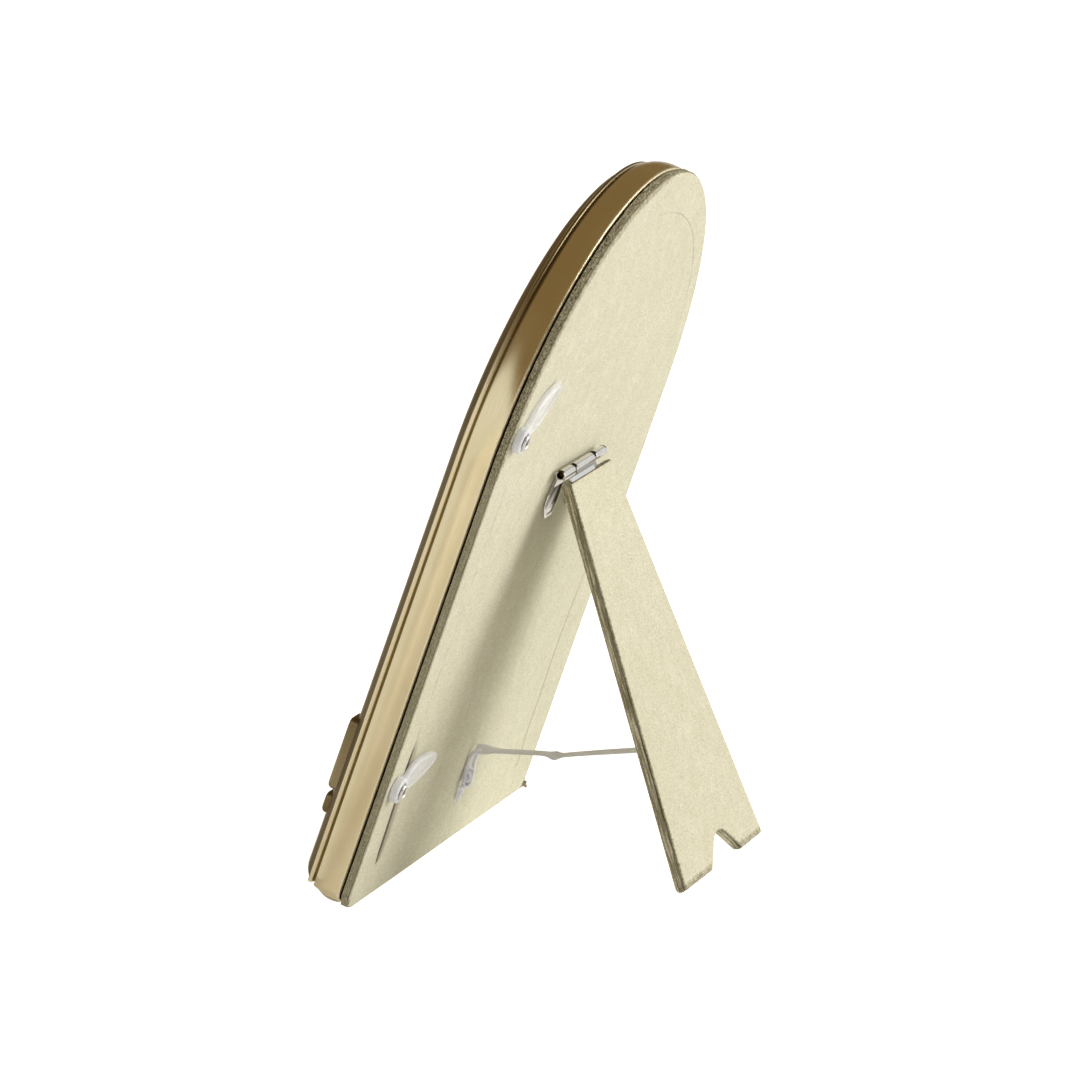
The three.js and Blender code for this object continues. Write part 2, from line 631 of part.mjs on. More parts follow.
const knotBall = new THREE.IcosahedronGeometry(1, 2);
knotBall.scale(1.8, 1.2, 2.1);
knotBall.translate(knotCentre.x, knotCentre.y, knotCentre.z);
const tailPlaces = [];
const tailTurns = [];
for (let k = 0; k <= 10; k++) {
  const t = k / 10;
  tailPlaces.push(new THREE.Vector3(0.9 * Math.sin(4 * t), BACK + 1.5 - 0.5 * t, knotCentre.z - 0.5 - 10.5 * t));
  tailTurns.push(0.4 + 0.9 * t);
}
const knot = toSolid(knotBall).add(toSolid(strip(tailPlaces, tailTurns, RIBBON_WIDTH * 0.55, RIBBON_THICK)));
addPiece(tilted, 'ribbon_knot', toGeometry(knot), 0xaaa5af, 0.6, 0);

// Stands the part over its own centre
root.updateMatrixWorld(true);
const extent = new THREE.Box3().setFromObject(root, true);
root.position.y = -(extent.min.y + extent.max.y) / 2;
root.updateMatrixWorld(true);

export default root;
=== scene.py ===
# %% [markdown]
# An arched picture frame, seen from its back.
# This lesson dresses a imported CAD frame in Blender. The frame stands on an easel strut, so most of what we
# see is the flocked back, two plastic turn buttons, a small hinge, the strut and the ribbon that stays it.
# The CAD model is loaded first and never moved: every piece below is worked out in the same place.

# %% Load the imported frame
import math

import bmesh
import bpy
import numpy as np
from mathutils import Matrix, Vector


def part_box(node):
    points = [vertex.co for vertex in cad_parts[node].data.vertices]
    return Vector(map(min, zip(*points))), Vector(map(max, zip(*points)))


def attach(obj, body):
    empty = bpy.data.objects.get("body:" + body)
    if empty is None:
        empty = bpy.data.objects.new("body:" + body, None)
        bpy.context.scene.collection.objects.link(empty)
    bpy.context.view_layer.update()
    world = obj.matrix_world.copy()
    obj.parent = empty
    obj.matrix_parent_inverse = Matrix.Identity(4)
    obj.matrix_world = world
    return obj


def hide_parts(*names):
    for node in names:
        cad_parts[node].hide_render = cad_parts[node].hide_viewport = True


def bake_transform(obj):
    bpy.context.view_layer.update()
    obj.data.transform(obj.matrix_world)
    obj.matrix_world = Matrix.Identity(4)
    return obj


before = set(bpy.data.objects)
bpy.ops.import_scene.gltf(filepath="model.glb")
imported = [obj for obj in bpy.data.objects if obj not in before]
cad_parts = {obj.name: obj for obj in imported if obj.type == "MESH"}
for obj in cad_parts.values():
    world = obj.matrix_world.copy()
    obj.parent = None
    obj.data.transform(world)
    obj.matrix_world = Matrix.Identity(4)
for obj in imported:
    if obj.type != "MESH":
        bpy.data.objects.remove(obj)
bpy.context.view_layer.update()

# %% [markdown]
# Camera.
# The photograph was taken from a long way off with a long lens, a little above the frame and looking along
# its back. A camera could be aimed with a constraint, but the photograph is also rolled a little, so
# the three axes of the camera are worked out here and written into its matrix.

# %% Camera at the photograph's angle
LENS = 300.3
CAMERA_AZIMUTH = math.radians(108.916)
CAMERA_HEIGHT = math.radians(11.808)
CAMERA_ROLL = math.radians(-1.3)
CAMERA_DISTANCE = 2.1045
LOOK_AT = Vector((-0.0134, -0.00738, 0.07209))

backward = Vector((math.sin(CAMERA_AZIMUTH) * math.cos(CAMERA_HEIGHT),
                   -math.cos(CAMERA_AZIMUTH) * math.cos(CAMERA_HEIGHT), math.sin(CAMERA_HEIGHT)))
level_right = Vector((math.cos(CAMERA_AZIMUTH), math.sin(CAMERA_AZIMUTH), 0))
level_up = backward.cross(level_right)
rolled_right = level_right * math.cos(CAMERA_ROLL) + level_up * math.sin(CAMERA_ROLL)
rolled_up = level_up * math.cos(CAMERA_ROLL) - level_right * math.sin(CAMERA_ROLL)
camera_data = bpy.data.cameras.new("camera")
camera_data.lens = LENS
camera_data.sensor_width = 36
camera_data.clip_start = 0.05
camera = bpy.data.objects.new("camera", camera_data)
bpy.context.scene.collection.objects.link(camera)
camera_axes = Matrix((rolled_right, rolled_up, backward)).transposed().to_4x4()
camera.matrix_world = Matrix.Translation(LOOK_AT + backward * CAMERA_DISTANCE) @ camera_axes
bpy.context.scene.camera = camera
print("camera at", [round(value, 3) for value in camera.matrix_world.translation])

# %% [markdown]
# Two drawing boards.
# Makers draw the frame flat: across, out of the back, and up the back. The real frame leans back, and its
# strut swings out from a hinge pin. Small functions carry flat drawings in millimetres to their places
# in metres, so that every later piece can be drawn as simply as it would be on paper.

# %% From flat drawings to places in the room
# Outline of the back in millimetres: half width, height where the arch springs, and width of the border
RADIUS = 63.0
SPRING = 110.5
ARCH_RUN = math.pi * RADIUS
ARCH_END = SPRING + ARCH_RUN
BORDER = 12.0
FOOT_BORDER = 8.8
# Heights out of the back: the board's rear is 0, the face of the flock is BACK, the moulding starts at SEAT
GLUE = 0.1
CORE = 1.55
BACK = 0.5
SEAT = -CORE - GLUE
# Place of the hinge axis, lean of the back, and angle to which the strut opens
AXIS_UP = 101.4
AXIS_OUT = BACK + 2.0
LEAN = math.radians(20.96)
OPEN = math.radians(39.55)

pin_low, pin_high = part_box("hinge_pin")
pin_depth = 1000 * (pin_low.y + pin_high.y) / 2
SHIFT = pin_depth - AXIS_OUT * math.cos(LEAN) - AXIS_UP * math.sin(LEAN)


def place_on_frame(points):
    """Turns (across, out, up the back) by the lean about the foot line, and slides it to the room."""
    across, out, up = np.moveaxis(np.asarray(points, float), -1, 0)
    depth = out * math.cos(LEAN) + up * math.sin(LEAN) + SHIFT
    height = up * math.cos(LEAN) - out * math.sin(LEAN)
    return np.stack([across, depth, height], -1) / 1000


def strut_to_frame(points):
    """Turns (across, out of the strut's rear, down from the pin) by the opening angle about the hinge pin."""
    across, out, down = np.moveaxis(np.asarray(points, float), -1, 0)
    frame_out = AXIS_OUT + out * math.cos(OPEN) + down * math.sin(OPEN)
    frame_up = AXIS_UP + out * math.sin(OPEN) - down * math.cos(OPEN)
    return np.stack([across, frame_out, frame_up], -1)


def place_on_strut(points):
    """A place on the strut, carried to the frame and then to the room."""
    return place_on_frame(strut_to_frame(points))


print("hinge pin at", np.round(place_on_strut([0, 0, 0]) * 1000, 2).tolist(), "mm")

# %% [markdown]
# Surfaces from arrays.
# Each new piece is a grid of points, and a grid needs faces. A lathe, a swept moulding and a strip of ribbon
# all use the same pattern of four-cornered faces, with or without the last row joined to the first. A few
# helpers make such shells, and one more turns any number of them into one closed, smooth mesh.

# %% Steps, bells and distances


def ease(value, low, high):
    """A smooth step: 0 below low, 1 above high, and an S curve between."""
    t = np.clip((np.asarray(value, float) - low) / (high - low), 0, 1)
    return t * t * (3 - 2 * t)


def bell(value, middle, half):
    """A bell curve: 1 at the middle, and about a third at a half width from it."""
    return np.exp(-((value - middle) / half) ** 2)


def within(value, low, high):
    """1 where a value lies between two limits, else 0."""
    return (value > low) * (value < high)


def run_along(line):
    """The distance travelled along a line of points, counted from its first one."""
    step = np.linalg.norm(np.diff(line, axis=0), axis=1)
    return np.concatenate([[0], np.cumsum(step)])


print("a bell at its half width is", round(float(bell(1, 0, 1)), 2))

# %% Grid faces and shells


def grid_faces(rows, columns, join_rows=False, join_columns=False):
    """Corner numbers of the four-cornered faces of a grid, row by row."""
    r = np.arange(rows if join_rows else rows - 1)
    c = np.arange(columns if join_columns else columns - 1)
    r0, c0 = np.meshgrid(r, c, indexing="ij")
    r1 = (r0 + 1) % rows
    c1 = (c0 + 1) % columns
    corners = np.stack([r0 * columns + c0, r0 * columns + c1, r1 * columns + c1, r1 * columns + c0], -1)
    return corners.reshape(-1, 4).tolist()


def end_caps(rows, columns):
    """Two many-cornered faces that close the first and the last row of a grid joined across its columns."""
    first = list(range(columns))
    last = list(range((rows - 1) * columns, rows * columns))
    return [first[::-1], last]


def shell(points, place, faces, **values):
    """One surface: rows of points carried to their place, its faces, and values that its finish reads."""
    spread = {key: np.broadcast_to(value, points.shape[:2]).ravel() for key, value in values.items()}
    return {"points": place(points).reshape(-1, 3), "faces": faces, "values": spread}


def capped_shell(points, place, **values):
    """A tube whose rows are closed rings, with its first and its last ring filled."""
    rows, columns = points.shape[:2]
    faces = grid_faces(rows, columns, join_columns=True) + end_caps(rows, columns)
    return shell(points, place, faces, **values)


def ring_shell(points, place, **values):
    """A tube whose last row meets its first, so that it has no ends."""
    rows, columns = points.shape[:2]
    return shell(points, place, grid_faces(rows, columns, True, True), **values)


print("a grid of 3 by 4 points has", len(grid_faces(3, 4)), "faces")

# %% Finished pieces
WELD = 4e-7


def make_piece(name, shells, material, sharp):
    """Joins shells into one mesh, welds seams and poles, turns faces outward and smooths soft edges."""
    mesh = bpy.data.meshes.new(name)
    points = np.concatenate([part["points"] for part in shells])
    faces = []
    start = 0
    for part in shells:
        faces += [[corner + start for corner in face] for face in part["faces"]]
        start += len(part["points"])
    mesh.from_pydata(points.tolist(), [], faces)
    keys = sorted({key for part in shells for key in part["values"]})
    for key in keys:
        column = [part["values"].get(key, np.zeros(len(part["points"]))) for part in shells]
        layer = mesh.attributes.new(key, "FLOAT", "POINT")
        layer.data.foreach_set("value", np.concatenate(column).astype(np.float32))
    worker = bmesh.new()
    worker.from_mesh(mesh)
    bmesh.ops.remove_doubles(worker, verts=worker.verts, dist=WELD)
    bmesh.ops.recalc_face_normals(worker, faces=worker.faces)
    worker.to_mesh(mesh)
    worker.free()
    mesh.shade_smooth()
    mesh.set_sharp_from_angle(angle=math.radians(sharp))
    mesh.materials.append(material)
    piece = bpy.data.objects.new(name, mesh)
    bpy.context.scene.collection.objects.link(piece)
    print(name, len(mesh.polygons), "faces")
    return piece


print("points closer than", WELD * 1000, "mm are welded")

# %% [markdown]
# Building finishes.
# A finish is a small tree of shader nodes. Writing node trees by hand is wordy, so one helper adds a node,
# sets its values and joins its inputs in a single call. Colours are given as a painter reads them from a
# screen, and changed to the linear light that the shader works in.

# %% Node helpers


def light(red, green, blue):
    """A screen colour from 0 to 255, changed to linear light."""
    screen = np.array([red, green, blue]) / 255
    linear = np.where(screen <= 0.04045, screen / 12.92, ((screen + 0.055) / 1.055) ** 2.4)
    return (*linear.tolist(), 1.0)


def add_node(tree, kind, inputs=None, **settings):
    """Adds a node, sets its options, and fills its inputs with values or links."""
    node = tree.nodes.new(kind)
    for option, value in settings.items():
        setattr(node, option, value)
    for socket, value in (inputs or {}).items():
        if isinstance(value, bpy.types.NodeSocket):
            tree.links.new(value, node.inputs[socket])
        else:
            node.inputs[socket].default_value = value
    return node


def math_node(tree, operation, first, second=0.0):
    """One step of arithmetic on two numbers or links."""
    return add_node(tree, "ShaderNodeMath", {0: first, 1: second}, operation=operation).outputs[0]


def mix_colour(tree, amount, first, second):
    """First where amount is 0 and second where it is 1."""
    node = add_node(tree, "ShaderNodeMix", {0: amount, 6: first, 7: second}, data_type="RGBA")
    return node.outputs[2]


def value_range(tree, value, low, high, new_low, new_high):
    """Stretches a value from one range to another, and holds it inside the new one."""
    node = add_node(tree, "ShaderNodeMapRange", {0: value, 1: low, 2: high, 3: new_low, 4: new_high})
    return node.outputs[0]


def read_value(tree, name):
    """The value that a piece carries at each of its points."""
    return add_node(tree, "ShaderNodeAttribute", attribute_name=name).outputs["Fac"]


def object_place(tree):
    """The place on the piece itself, in metres."""
    return add_node(tree, "ShaderNodeTexCoord").outputs["Object"]


print("middle grey in linear light", round(light(128, 128, 128)[0], 3))

# %% Finishes and node groups


def new_finish(name, colour, roughness, metallic=0.0):
    """An empty finish with its shader, whose plain numbers are set on the shader's own sockets."""
    material = bpy.data.materials.new(name)
    material.use_nodes = True
    shader = material.node_tree.nodes["Principled BSDF"]
    shader.inputs["Base Color"].default_value = colour
    shader.inputs["Roughness"].default_value = roughness
    shader.inputs["Metallic"].default_value = metallic
    return material, material.node_tree, shader


def bump(tree, shader, height, strength, distance):
    """Lets a height in metres tilt the surface of a finish."""
    node = add_node(tree, "ShaderNodeBump", {"Height": height, "Strength": strength, "Distance": distance})
    tree.links.new(node.outputs[0], shader.inputs["Normal"])


def new_group(name, takes, gives):
    """A shader node group with named inputs and outputs."""
    tree = bpy.data.node_groups.new(name, "ShaderNodeTree")
    for socket, kind in takes:
        tree.interface.new_socket(socket, in_out="INPUT", socket_type="NodeSocket" + kind)
    for socket, kind in gives:
        tree.interface.new_socket(socket, in_out="OUTPUT", socket_type="NodeSocket" + kind)
    return tree, tree.nodes.new("NodeGroupInput").outputs, tree.nodes.new("NodeGroupOutput").inputs


def place_group(tree, group, inputs):
    """Puts a group into a finish with its own values."""
    return add_node(tree, "ShaderNodeGroup", inputs, node_tree=group).outputs


print("helpers ready")

# %% [markdown]
# Effects that several finishes share.
# Flock, greyboard and paper are all made of fibres, so one group gives fibre height and a slow mottling.
# The gold and the bright hinge metal both carry fine streaks along the way they were drawn, so a second group
# gives streaks. Handling leaves tiny specks on gold and flock, and a third group scatters these.

# %% Shared node groups
fibre_group, taken, given = new_group(
    "fibre grain", [("Place", "Vector"), ("Grain", "Float"), ("Patch", "Float")],
    [("Height", "Float"), ("Mottle", "Float")])
fine = add_node(fibre_group, "ShaderNodeTexNoise",
                {"Vector": taken["Place"], "Scale": taken["Grain"], "Detail": 4.0, "Roughness": 0.7})
wide = add_node(fibre_group, "ShaderNodeTexNoise",
                {"Vector": taken["Place"], "Scale": taken["Patch"], "Detail": 3.0, "Roughness": 0.6})
fibre_group.links.new(fine.outputs["Fac"], given["Height"])
fibre_group.links.new(wide.outputs["Fac"], given["Mottle"])

streak_group, taken, given = new_group(
    "drawn streaks", [("Place", "Vector"), ("Stretch", "Vector"), ("Fineness", "Float")],
    [("Streak", "Float")])
stretched = add_node(streak_group, "ShaderNodeVectorMath",
                     {0: taken["Place"], 1: taken["Stretch"]}, operation="MULTIPLY")
lines = add_node(streak_group, "ShaderNodeTexNoise",
                 {"Vector": stretched.outputs[0], "Scale": taken["Fineness"],
                  "Detail": 3.0, "Roughness": 0.65})
streak_group.links.new(lines.outputs["Fac"], given["Streak"])

speck_group, taken, given = new_group(
    "handling specks", [("Place", "Vector"), ("Spacing", "Float"), ("Size", "Float"), ("Share", "Float")],
    [("Mask", "Float")])
cells = add_node(speck_group, "ShaderNodeTexVoronoi", {"Vector": taken["Place"], "Scale": taken["Spacing"]})
chance = add_node(speck_group, "ShaderNodeSeparateColor", {0: cells.outputs["Color"]})
near = math_node(speck_group, "LESS_THAN", cells.outputs["Distance"], taken["Size"])
chosen = math_node(speck_group, "LESS_THAN", chance.outputs[0], taken["Share"])
speck_group.links.new(math_node(speck_group, "MULTIPLY", near, chosen), given["Mask"])


def fibre_grain(tree, grain, patch):
    """Places the fibre group on the piece itself, with the fineness of its grain and of its patches."""
    return place_group(tree, fibre_group, {"Place": object_place(tree), "Grain": grain, "Patch": patch})


print("groups", [group.name for group in bpy.data.node_groups])

# %% [markdown]
# The stay ribbon.
# A narrow woven ribbon keeps the strut from sliding open. It leaves its knot on the back, folds once on the
# way, and is pulled nearly straight to the front of the strut. A curve with a flat bevel could draw it, but
# a ribbon turns and cups across its width, so a flat section is carried along the route and turned step
# by step.

# %% Ribbon finish
# Spacing of the threads in millimetres
THREAD_ALONG = 0.42
THREAD_ACROSS = 0.34
ribbon_finish, tree, shader = new_finish("woven ribbon", light(176, 170, 180), 0.55)
weave_along = math_node(tree, "MULTIPLY", read_value(tree, "ribbon_along"), 2 * math.pi / THREAD_ALONG)
weave_across = math_node(tree, "MULTIPLY", read_value(tree, "ribbon_across"), 2 * math.pi / THREAD_ACROSS)
crossing = math_node(tree, "MULTIPLY",
                     math_node(tree, "SINE", weave_along), math_node(tree, "SINE", weave_across))
woven = value_range(tree, crossing, -1, 1, 0, 1)
fibres = fibre_grain(tree, 5200.0, 420.0)
worn = value_range(tree, fibres["Mottle"], 0.35, 0.7, 0.0, 1.0)
ribbon_tone = mix_colour(tree, worn, light(212, 215, 230), light(230, 232, 243))
ribbon_tone = mix_colour(tree, math_node(tree, "MULTIPLY", woven, 0.4), ribbon_tone, light(240, 240, 246))
# Painted light: where bright is set, the ribbon and its knot are lightened, because they lie in the strut's
# shadow
ribbon_tone = mix_colour(tree, read_value(tree, "bright"), ribbon_tone, light(243, 244, 255))
tree.links.new(ribbon_tone, shader.inputs["Base Color"])
ribbon_height = math_node(tree, "ADD", woven, fibres["Height"])
bump(tree, shader, ribbon_height, 0.5, 0.00008)
shader.inputs["Sheen Weight"].default_value = 0.5
shader.inputs["Sheen Roughness"].default_value = 0.4
print("finish", ribbon_finish.name)

# %% Flat strip along a route
RIBBON_WIDE = 3.0
RIBBON_THICK = 0.26
SQUARED = 0.5
CUP_REST = 0.4


def flat_strip(route, turn, wide, thick, cup, section_steps=22, lies_along=(1.0, 0, 0)):
    """Carries a flat section along a route: its width lies along a given line, turned by an angle.

    The section is an ellipse whose corners are filled by the power SQUARED, and a parabola cups it.
    """
    count = len(route)
    ahead = np.gradient(route, axis=0)
    ahead /= np.linalg.norm(ahead, axis=1, keepdims=True)
    lay = np.array(lies_along)
    side = lay - ahead * (ahead @ lay)[:, None]
    side /= np.linalg.norm(side, axis=1, keepdims=True)
    face = np.cross(ahead, side)
    cosine = np.cos(turn)[:, None]
    sine = np.sin(turn)[:, None]
    side, face = side * cosine + face * sine, face * cosine - side * sine
    angle = np.linspace(0, 2 * np.pi, section_steps, endpoint=False)
    across = np.sign(np.cos(angle)) * np.abs(np.cos(angle)) ** SQUARED
    lift = np.sign(np.sin(angle)) * np.abs(np.sin(angle)) ** SQUARED
    bend = np.broadcast_to(cup, (count,))[:, None]
    sideways = np.broadcast_to(wide / 2 * across, (count, section_steps))
    outward = thick / 2 * lift + bend * (across ** 2 - CUP_REST)
    points = route[:, None] + side[:, None] * sideways[..., None] + face[:, None] * outward[..., None]
    return points, {"ribbon_along": run_along(route)[:, None], "ribbon_across": sideways}


print("ribbon", RIBBON_WIDE, "by", RIBBON_THICK, "mm")

# %% Ribbon route and shape
# The route from the knot to the strut, as millimetres out of the back and up it
ribbon_out = [1.6, 2.5, 6.24, 11.76, 17.27, 19.6, 20.6, 22.4, 27.62, 32.21, 37.24, 45.94]
ribbon_up = [26.7, 27.1, 28.36, 30.49, 32.6, 33.15, 33.3, 34.46, 37.25, 39.69, 42.32, 46.87]
RIBBON_STEPS = 190
NEIGHBOURS = 4
FREE_FROM = 3.0
FREE_TO = 44.0
FIRST_TURN_OUT = 2.8
FOLD_OUT = 20.0
window = np.ones(2 * NEIGHBOURS + 1) / (2 * NEIGHBOURS + 1)
out_steps = np.linspace(ribbon_out[0], ribbon_out[-1], RIBBON_STEPS)
up_steps = np.interp(out_steps, ribbon_out, ribbon_up)
soft = np.convolve(np.pad(up_steps, NEIGHBOURS, mode="edge"), window, mode="valid")
up_steps = np.where(within(out_steps, FREE_FROM, FREE_TO), soft, up_steps)
ribbon_route = np.stack([0 * out_steps, out_steps, up_steps], -1)
ribbon_t = np.linspace(0, 1, RIBBON_STEPS)
fold = bell(out_steps, FOLD_OUT, 1.1)
first_turn = bell(out_steps, FIRST_TURN_OUT, 2.4)
ribbon_turn = np.radians(8 + 34 * first_turn + 24 * fold + 4 * ease(ribbon_t, 0.45, 0.8))
ribbon_cup = 0.1 + 0.08 * np.sin(9 * ribbon_t) + 0.15 * fold
# Painted light: the ribbon is lightened most near its knot, where it lies in the strut's shadow
ribbon_painted_light = 0.4 + 0.6 * (1 - ease(out_steps, 4, 14))
ribbon_points, ribbon_values = flat_strip(ribbon_route, ribbon_turn, RIBBON_WIDE, RIBBON_THICK, ribbon_cup)
stay_ribbon = make_piece("stay_ribbon_woven", [capped_shell(
    ribbon_points, place_on_frame, bright=ribbon_painted_light[:, None], **ribbon_values)],
    ribbon_finish, sharp=60)
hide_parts("stay_ribbon")
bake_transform(stay_ribbon)

# %% [markdown]
# The ribbon's knot.
# On the back the ribbon ends in a long knot: a loop of twisted cords, a few crumpled rings round it, and a
# cut end that frays into threads. A simulated knot would take long and look much the same, so the loop, the
# rings and the threads are drawn as lines, and each line carries a narrow strip.

# %% Lines for the knot
STRIP_CUP = 0.02


def even_route(corners, count):
    """An even line of points: straight runs between the corners, averaged twice over neighbours."""
    corners = np.asarray(corners, float)
    reach = run_along(corners)
    even = np.linspace(0, reach[-1], count)
    line = np.stack([np.interp(even, reach, corners[:, axis]) for axis in range(3)], -1)
    for again in range(2):
        line[2:-2] = (line[:-4] + line[1:-3] + line[2:-2] + line[3:-1] + line[4:]) / 5
    return line


def twisted_cord(route, radius, pitch, phase):
    """A line wound round a route like a thread in a cord: a circle of the radius, once round per pitch."""
    ahead = np.gradient(route, axis=0)
    ahead /= np.linalg.norm(ahead, axis=1, keepdims=True)
    side = np.cross(ahead, [1.0, 0.1, 0.2])
    side /= np.linalg.norm(side, axis=1, keepdims=True)
    other = np.cross(ahead, side)
    angle = (2 * np.pi * run_along(route) / pitch + phase)[:, None]
    return route + radius * (side * np.cos(angle) + other * np.sin(angle))


def strip_shell(route, wide, thick, steps, lies_along=(1.0, 0, 0)):
    """A thin strip along a route, closed at both ends."""
    points, values = flat_strip(route, np.zeros(len(route)), wide, thick, STRIP_CUP, steps, lies_along)
    # Painted light: every strip of the knot is lightened fully, since the knot lies in the strut's shadow
    return capped_shell(points, place_on_frame, bright=1.0, **values)


print("strips are cupped by", STRIP_CUP, "mm")

# %% Knot of loops and frayed threads
LOOP_STEPS = 220
RING_STEPS = 60
THREADS = 16
THREAD_STEPS = 16
KNOT_FOOT = 15.9
# Corners of the long loop, as (across, out, up)
loop_corners = [[0, 2.3, 26.8], [0.6, 1.5, 26.0], [0.7, 1.05, 24.4], [0.6, 1.0, 22.5], [0.6, 1.2, 20.5],
                [0.5, 1.4, 18.5], [0.2, 1.7, 16.7], [-0.3, 2.3, 16.9], [-0.6, 2.8, 18.0], [-0.6, 2.7, 19.8],
                [-0.6, 2.4, 21.6], [-0.6, 2.05, 23.6], [-0.5, 2.2, 25.2], [0, 2.5, 26.8]]
long_loop = even_route(loop_corners, LOOP_STEPS)
knot_shells = [strip_shell(twisted_cord(long_loop, 0.3, 2.3, phase), 0.5, 0.26, 12)
               for phase in (0.0, 2.1, 4.2)]
ring_turn = np.linspace(0, 2 * np.pi, RING_STEPS)
# Rings round the loop: height out, height up, half width, tilt and phase
rings = [(1.5, 21.4, 0.8, 0.5, 0.0), (1.8, 20.2, 0.9, -0.4, 1.0), (1.9, 19.1, 1.0, 0.6, 2.0),
         (2.0, 18.1, 0.8, -0.5, 3.0), (1.9, 17.2, 0.6, 0.3, 4.0), (1.4, KNOT_FOOT, 0.5, -0.6, 5.0),
         (2.4, 26.7, 0.55, 0.4, 0.4)]
for out, up, wide, tilt, phase in rings:
    ring_out = np.maximum(out + wide * np.cos(ring_turn), BACK + 0.35)
    ring_up = up + 0.7 * wide * np.sin(ring_turn) + tilt * np.cos(ring_turn)
    ring = np.stack([0.75 * np.sin(ring_turn + phase), ring_out, ring_up], -1)
    knot_shells.append(strip_shell(ring, 0.55, 0.28, 12, (0.3, 0.2, 1.0)))

dice = np.random.default_rng(11)
t = np.linspace(0, 1, THREAD_STEPS)
for strand in range(THREADS):
    lean_out = dice.uniform(-1, 1)
    reach = dice.uniform(2.0, 4.6)
    top = np.array([dice.uniform(-0.4, 0.4), 1.4 + dice.uniform(-0.3, 0.3), KNOT_FOOT - dice.uniform(0, 0.6)])
    thread = np.stack([top[0] - 1.2 * t + 2.0 * lean_out * t ** 1.6 + 0.25 * np.sin(7 * t + 6 * lean_out),
                       np.maximum(top[1] - 0.5 * t + 0.35 * np.sin(5 * t + 3 * lean_out), BACK + 0.12),
                       top[2] - reach * t], -1)
    knot_shells.append(strip_shell(thread, 0.1, 0.1, 6))
ribbon_knot = make_piece("ribbon_knot_frayed", knot_shells, ribbon_finish, sharp=60)
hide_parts("ribbon_knot")
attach(ribbon_knot, "frame")

# %% [markdown]
# The gold moulding.
# The moulding is a thin pressed metal strip that runs round the arch, the sides and the foot, with its two
# lower corners rounded over. Its side is a shallow bowed band, then a groove, a bead, and the crown at the
# front. The sharp CAD section gets small round edges, because edges of pressed metal catch a fine line of
# light.

# %% Stations round the arch


def arch_stations(side_steps, arch_steps, foot_steps, foot_ratio=1.0):
    """Start and drift of each station: a point at some inset lies at start + inset * drift.

    Up one side the drift leans from the mitre to level, round the arch it points at the centre, and along
    the foot it runs from one mitre to the other. foot_ratio narrows the inset along the foot. The last
    station stops just short of the first, so that the two stay apart.
    """
    f = np.linspace(0, 1, side_steps + 1)[:-1]
    t = np.linspace(0, np.pi, arch_steps + 1)
    g = np.linspace(0, 1, foot_steps + 1)[1:]
    g[-1] = 1 - 1e-4
    up_start = np.stack([np.full_like(f, RADIUS), f * SPRING], -1)
    up_drift = np.stack([np.full_like(f, -1.0), foot_ratio * (1 - f)], -1)
    arch_start = np.stack([RADIUS * np.cos(t), SPRING + RADIUS * np.sin(t)], -1)
    arch_drift = np.stack([-np.cos(t), -np.sin(t)], -1)
    down_start = up_start[::-1] * [-1, 1]
    down_drift = up_drift[::-1] * [-1, 1]
    foot_start = np.stack([RADIUS * (2 * g - 1), 0 * g], -1)
    foot_drift = np.stack([1 - 2 * g, foot_ratio + 0 * g], -1)
    start = np.concatenate([up_start, arch_start, down_start, foot_start])
    drift = np.concatenate([up_drift, arch_drift, down_drift, foot_drift])
    return start, drift, run_along(start)


def sweep_round(inset, out, stations):
    """Carries a section, given as insets and heights out of the back, past every station."""
    start, drift = stations[:2]
    inset = np.broadcast_to(inset, (len(start), np.shape(inset)[-1]))
    out = np.broadcast_to(out, inset.shape)
    place = start[:, None] + inset[..., None] * drift[:, None]
    return np.stack([place[..., 0], out, place[..., 1]], -1)


print("the arch runs", round(ARCH_RUN, 1), "mm from one side to the other")

# %% Rounded corners and bowed lines
CORNER_ROUND = 4.5
CORNER_LIFT = 0.85
CORNER_REACH = 12.0


def round_corners(outline, radius, steps):
    """Replaces every corner of a closed outline by a curve that starts and ends a radius away from it.

    On a short side the curve starts at 0.45 of the side's length.
    """
    corner = np.asarray(outline, float)
    before = np.roll(corner, 1, axis=0) - corner
    after = np.roll(corner, -1, axis=0) - corner
    before_long = np.linalg.norm(before, axis=1, keepdims=True)
    after_long = np.linalg.norm(after, axis=1, keepdims=True)
    reach = np.minimum(np.broadcast_to(np.reshape(radius, (-1, 1)), before_long.shape),
                       0.45 * np.minimum(before_long, after_long))
    first = (corner + before / before_long * reach)[:, None]
    last = (corner + after / after_long * reach)[:, None]
    t = np.linspace(0, 1, steps)[None, :, None]
    curve = (1 - t) ** 2 * first + 2 * t * (1 - t) * corner[:, None] + t ** 2 * last
    return curve.reshape(-1, 2)


def bowed(start, end, bulge, steps):
    """A line from start to end, lifted sideways by a parabola."""
    t = np.linspace(0, 1, steps)[:, None]
    start = np.array(start, float)
    end = np.array(end, float)
    run = end - start
    side = np.array([run[1], -run[0]]) / np.hypot(*run)
    return start + run * t + side * 4 * bulge * t * (1 - t)


def blunt_corner(points, side):
    """Rounds one lower corner: near the side, places lift by the sagitta of a circle, less further up."""
    from_side = np.clip(RADIUS - side * points[..., 0], 0, CORNER_ROUND)
    lift = CORNER_ROUND - np.sqrt(CORNER_ROUND ** 2 - (CORNER_ROUND - from_side) ** 2)
    points[..., 2] += CORNER_LIFT * lift * (1 - ease(points[..., 2], 0, CORNER_REACH))
    return points


print("lower corners are rounded by", CORNER_ROUND, "mm")

# %% Gold finish


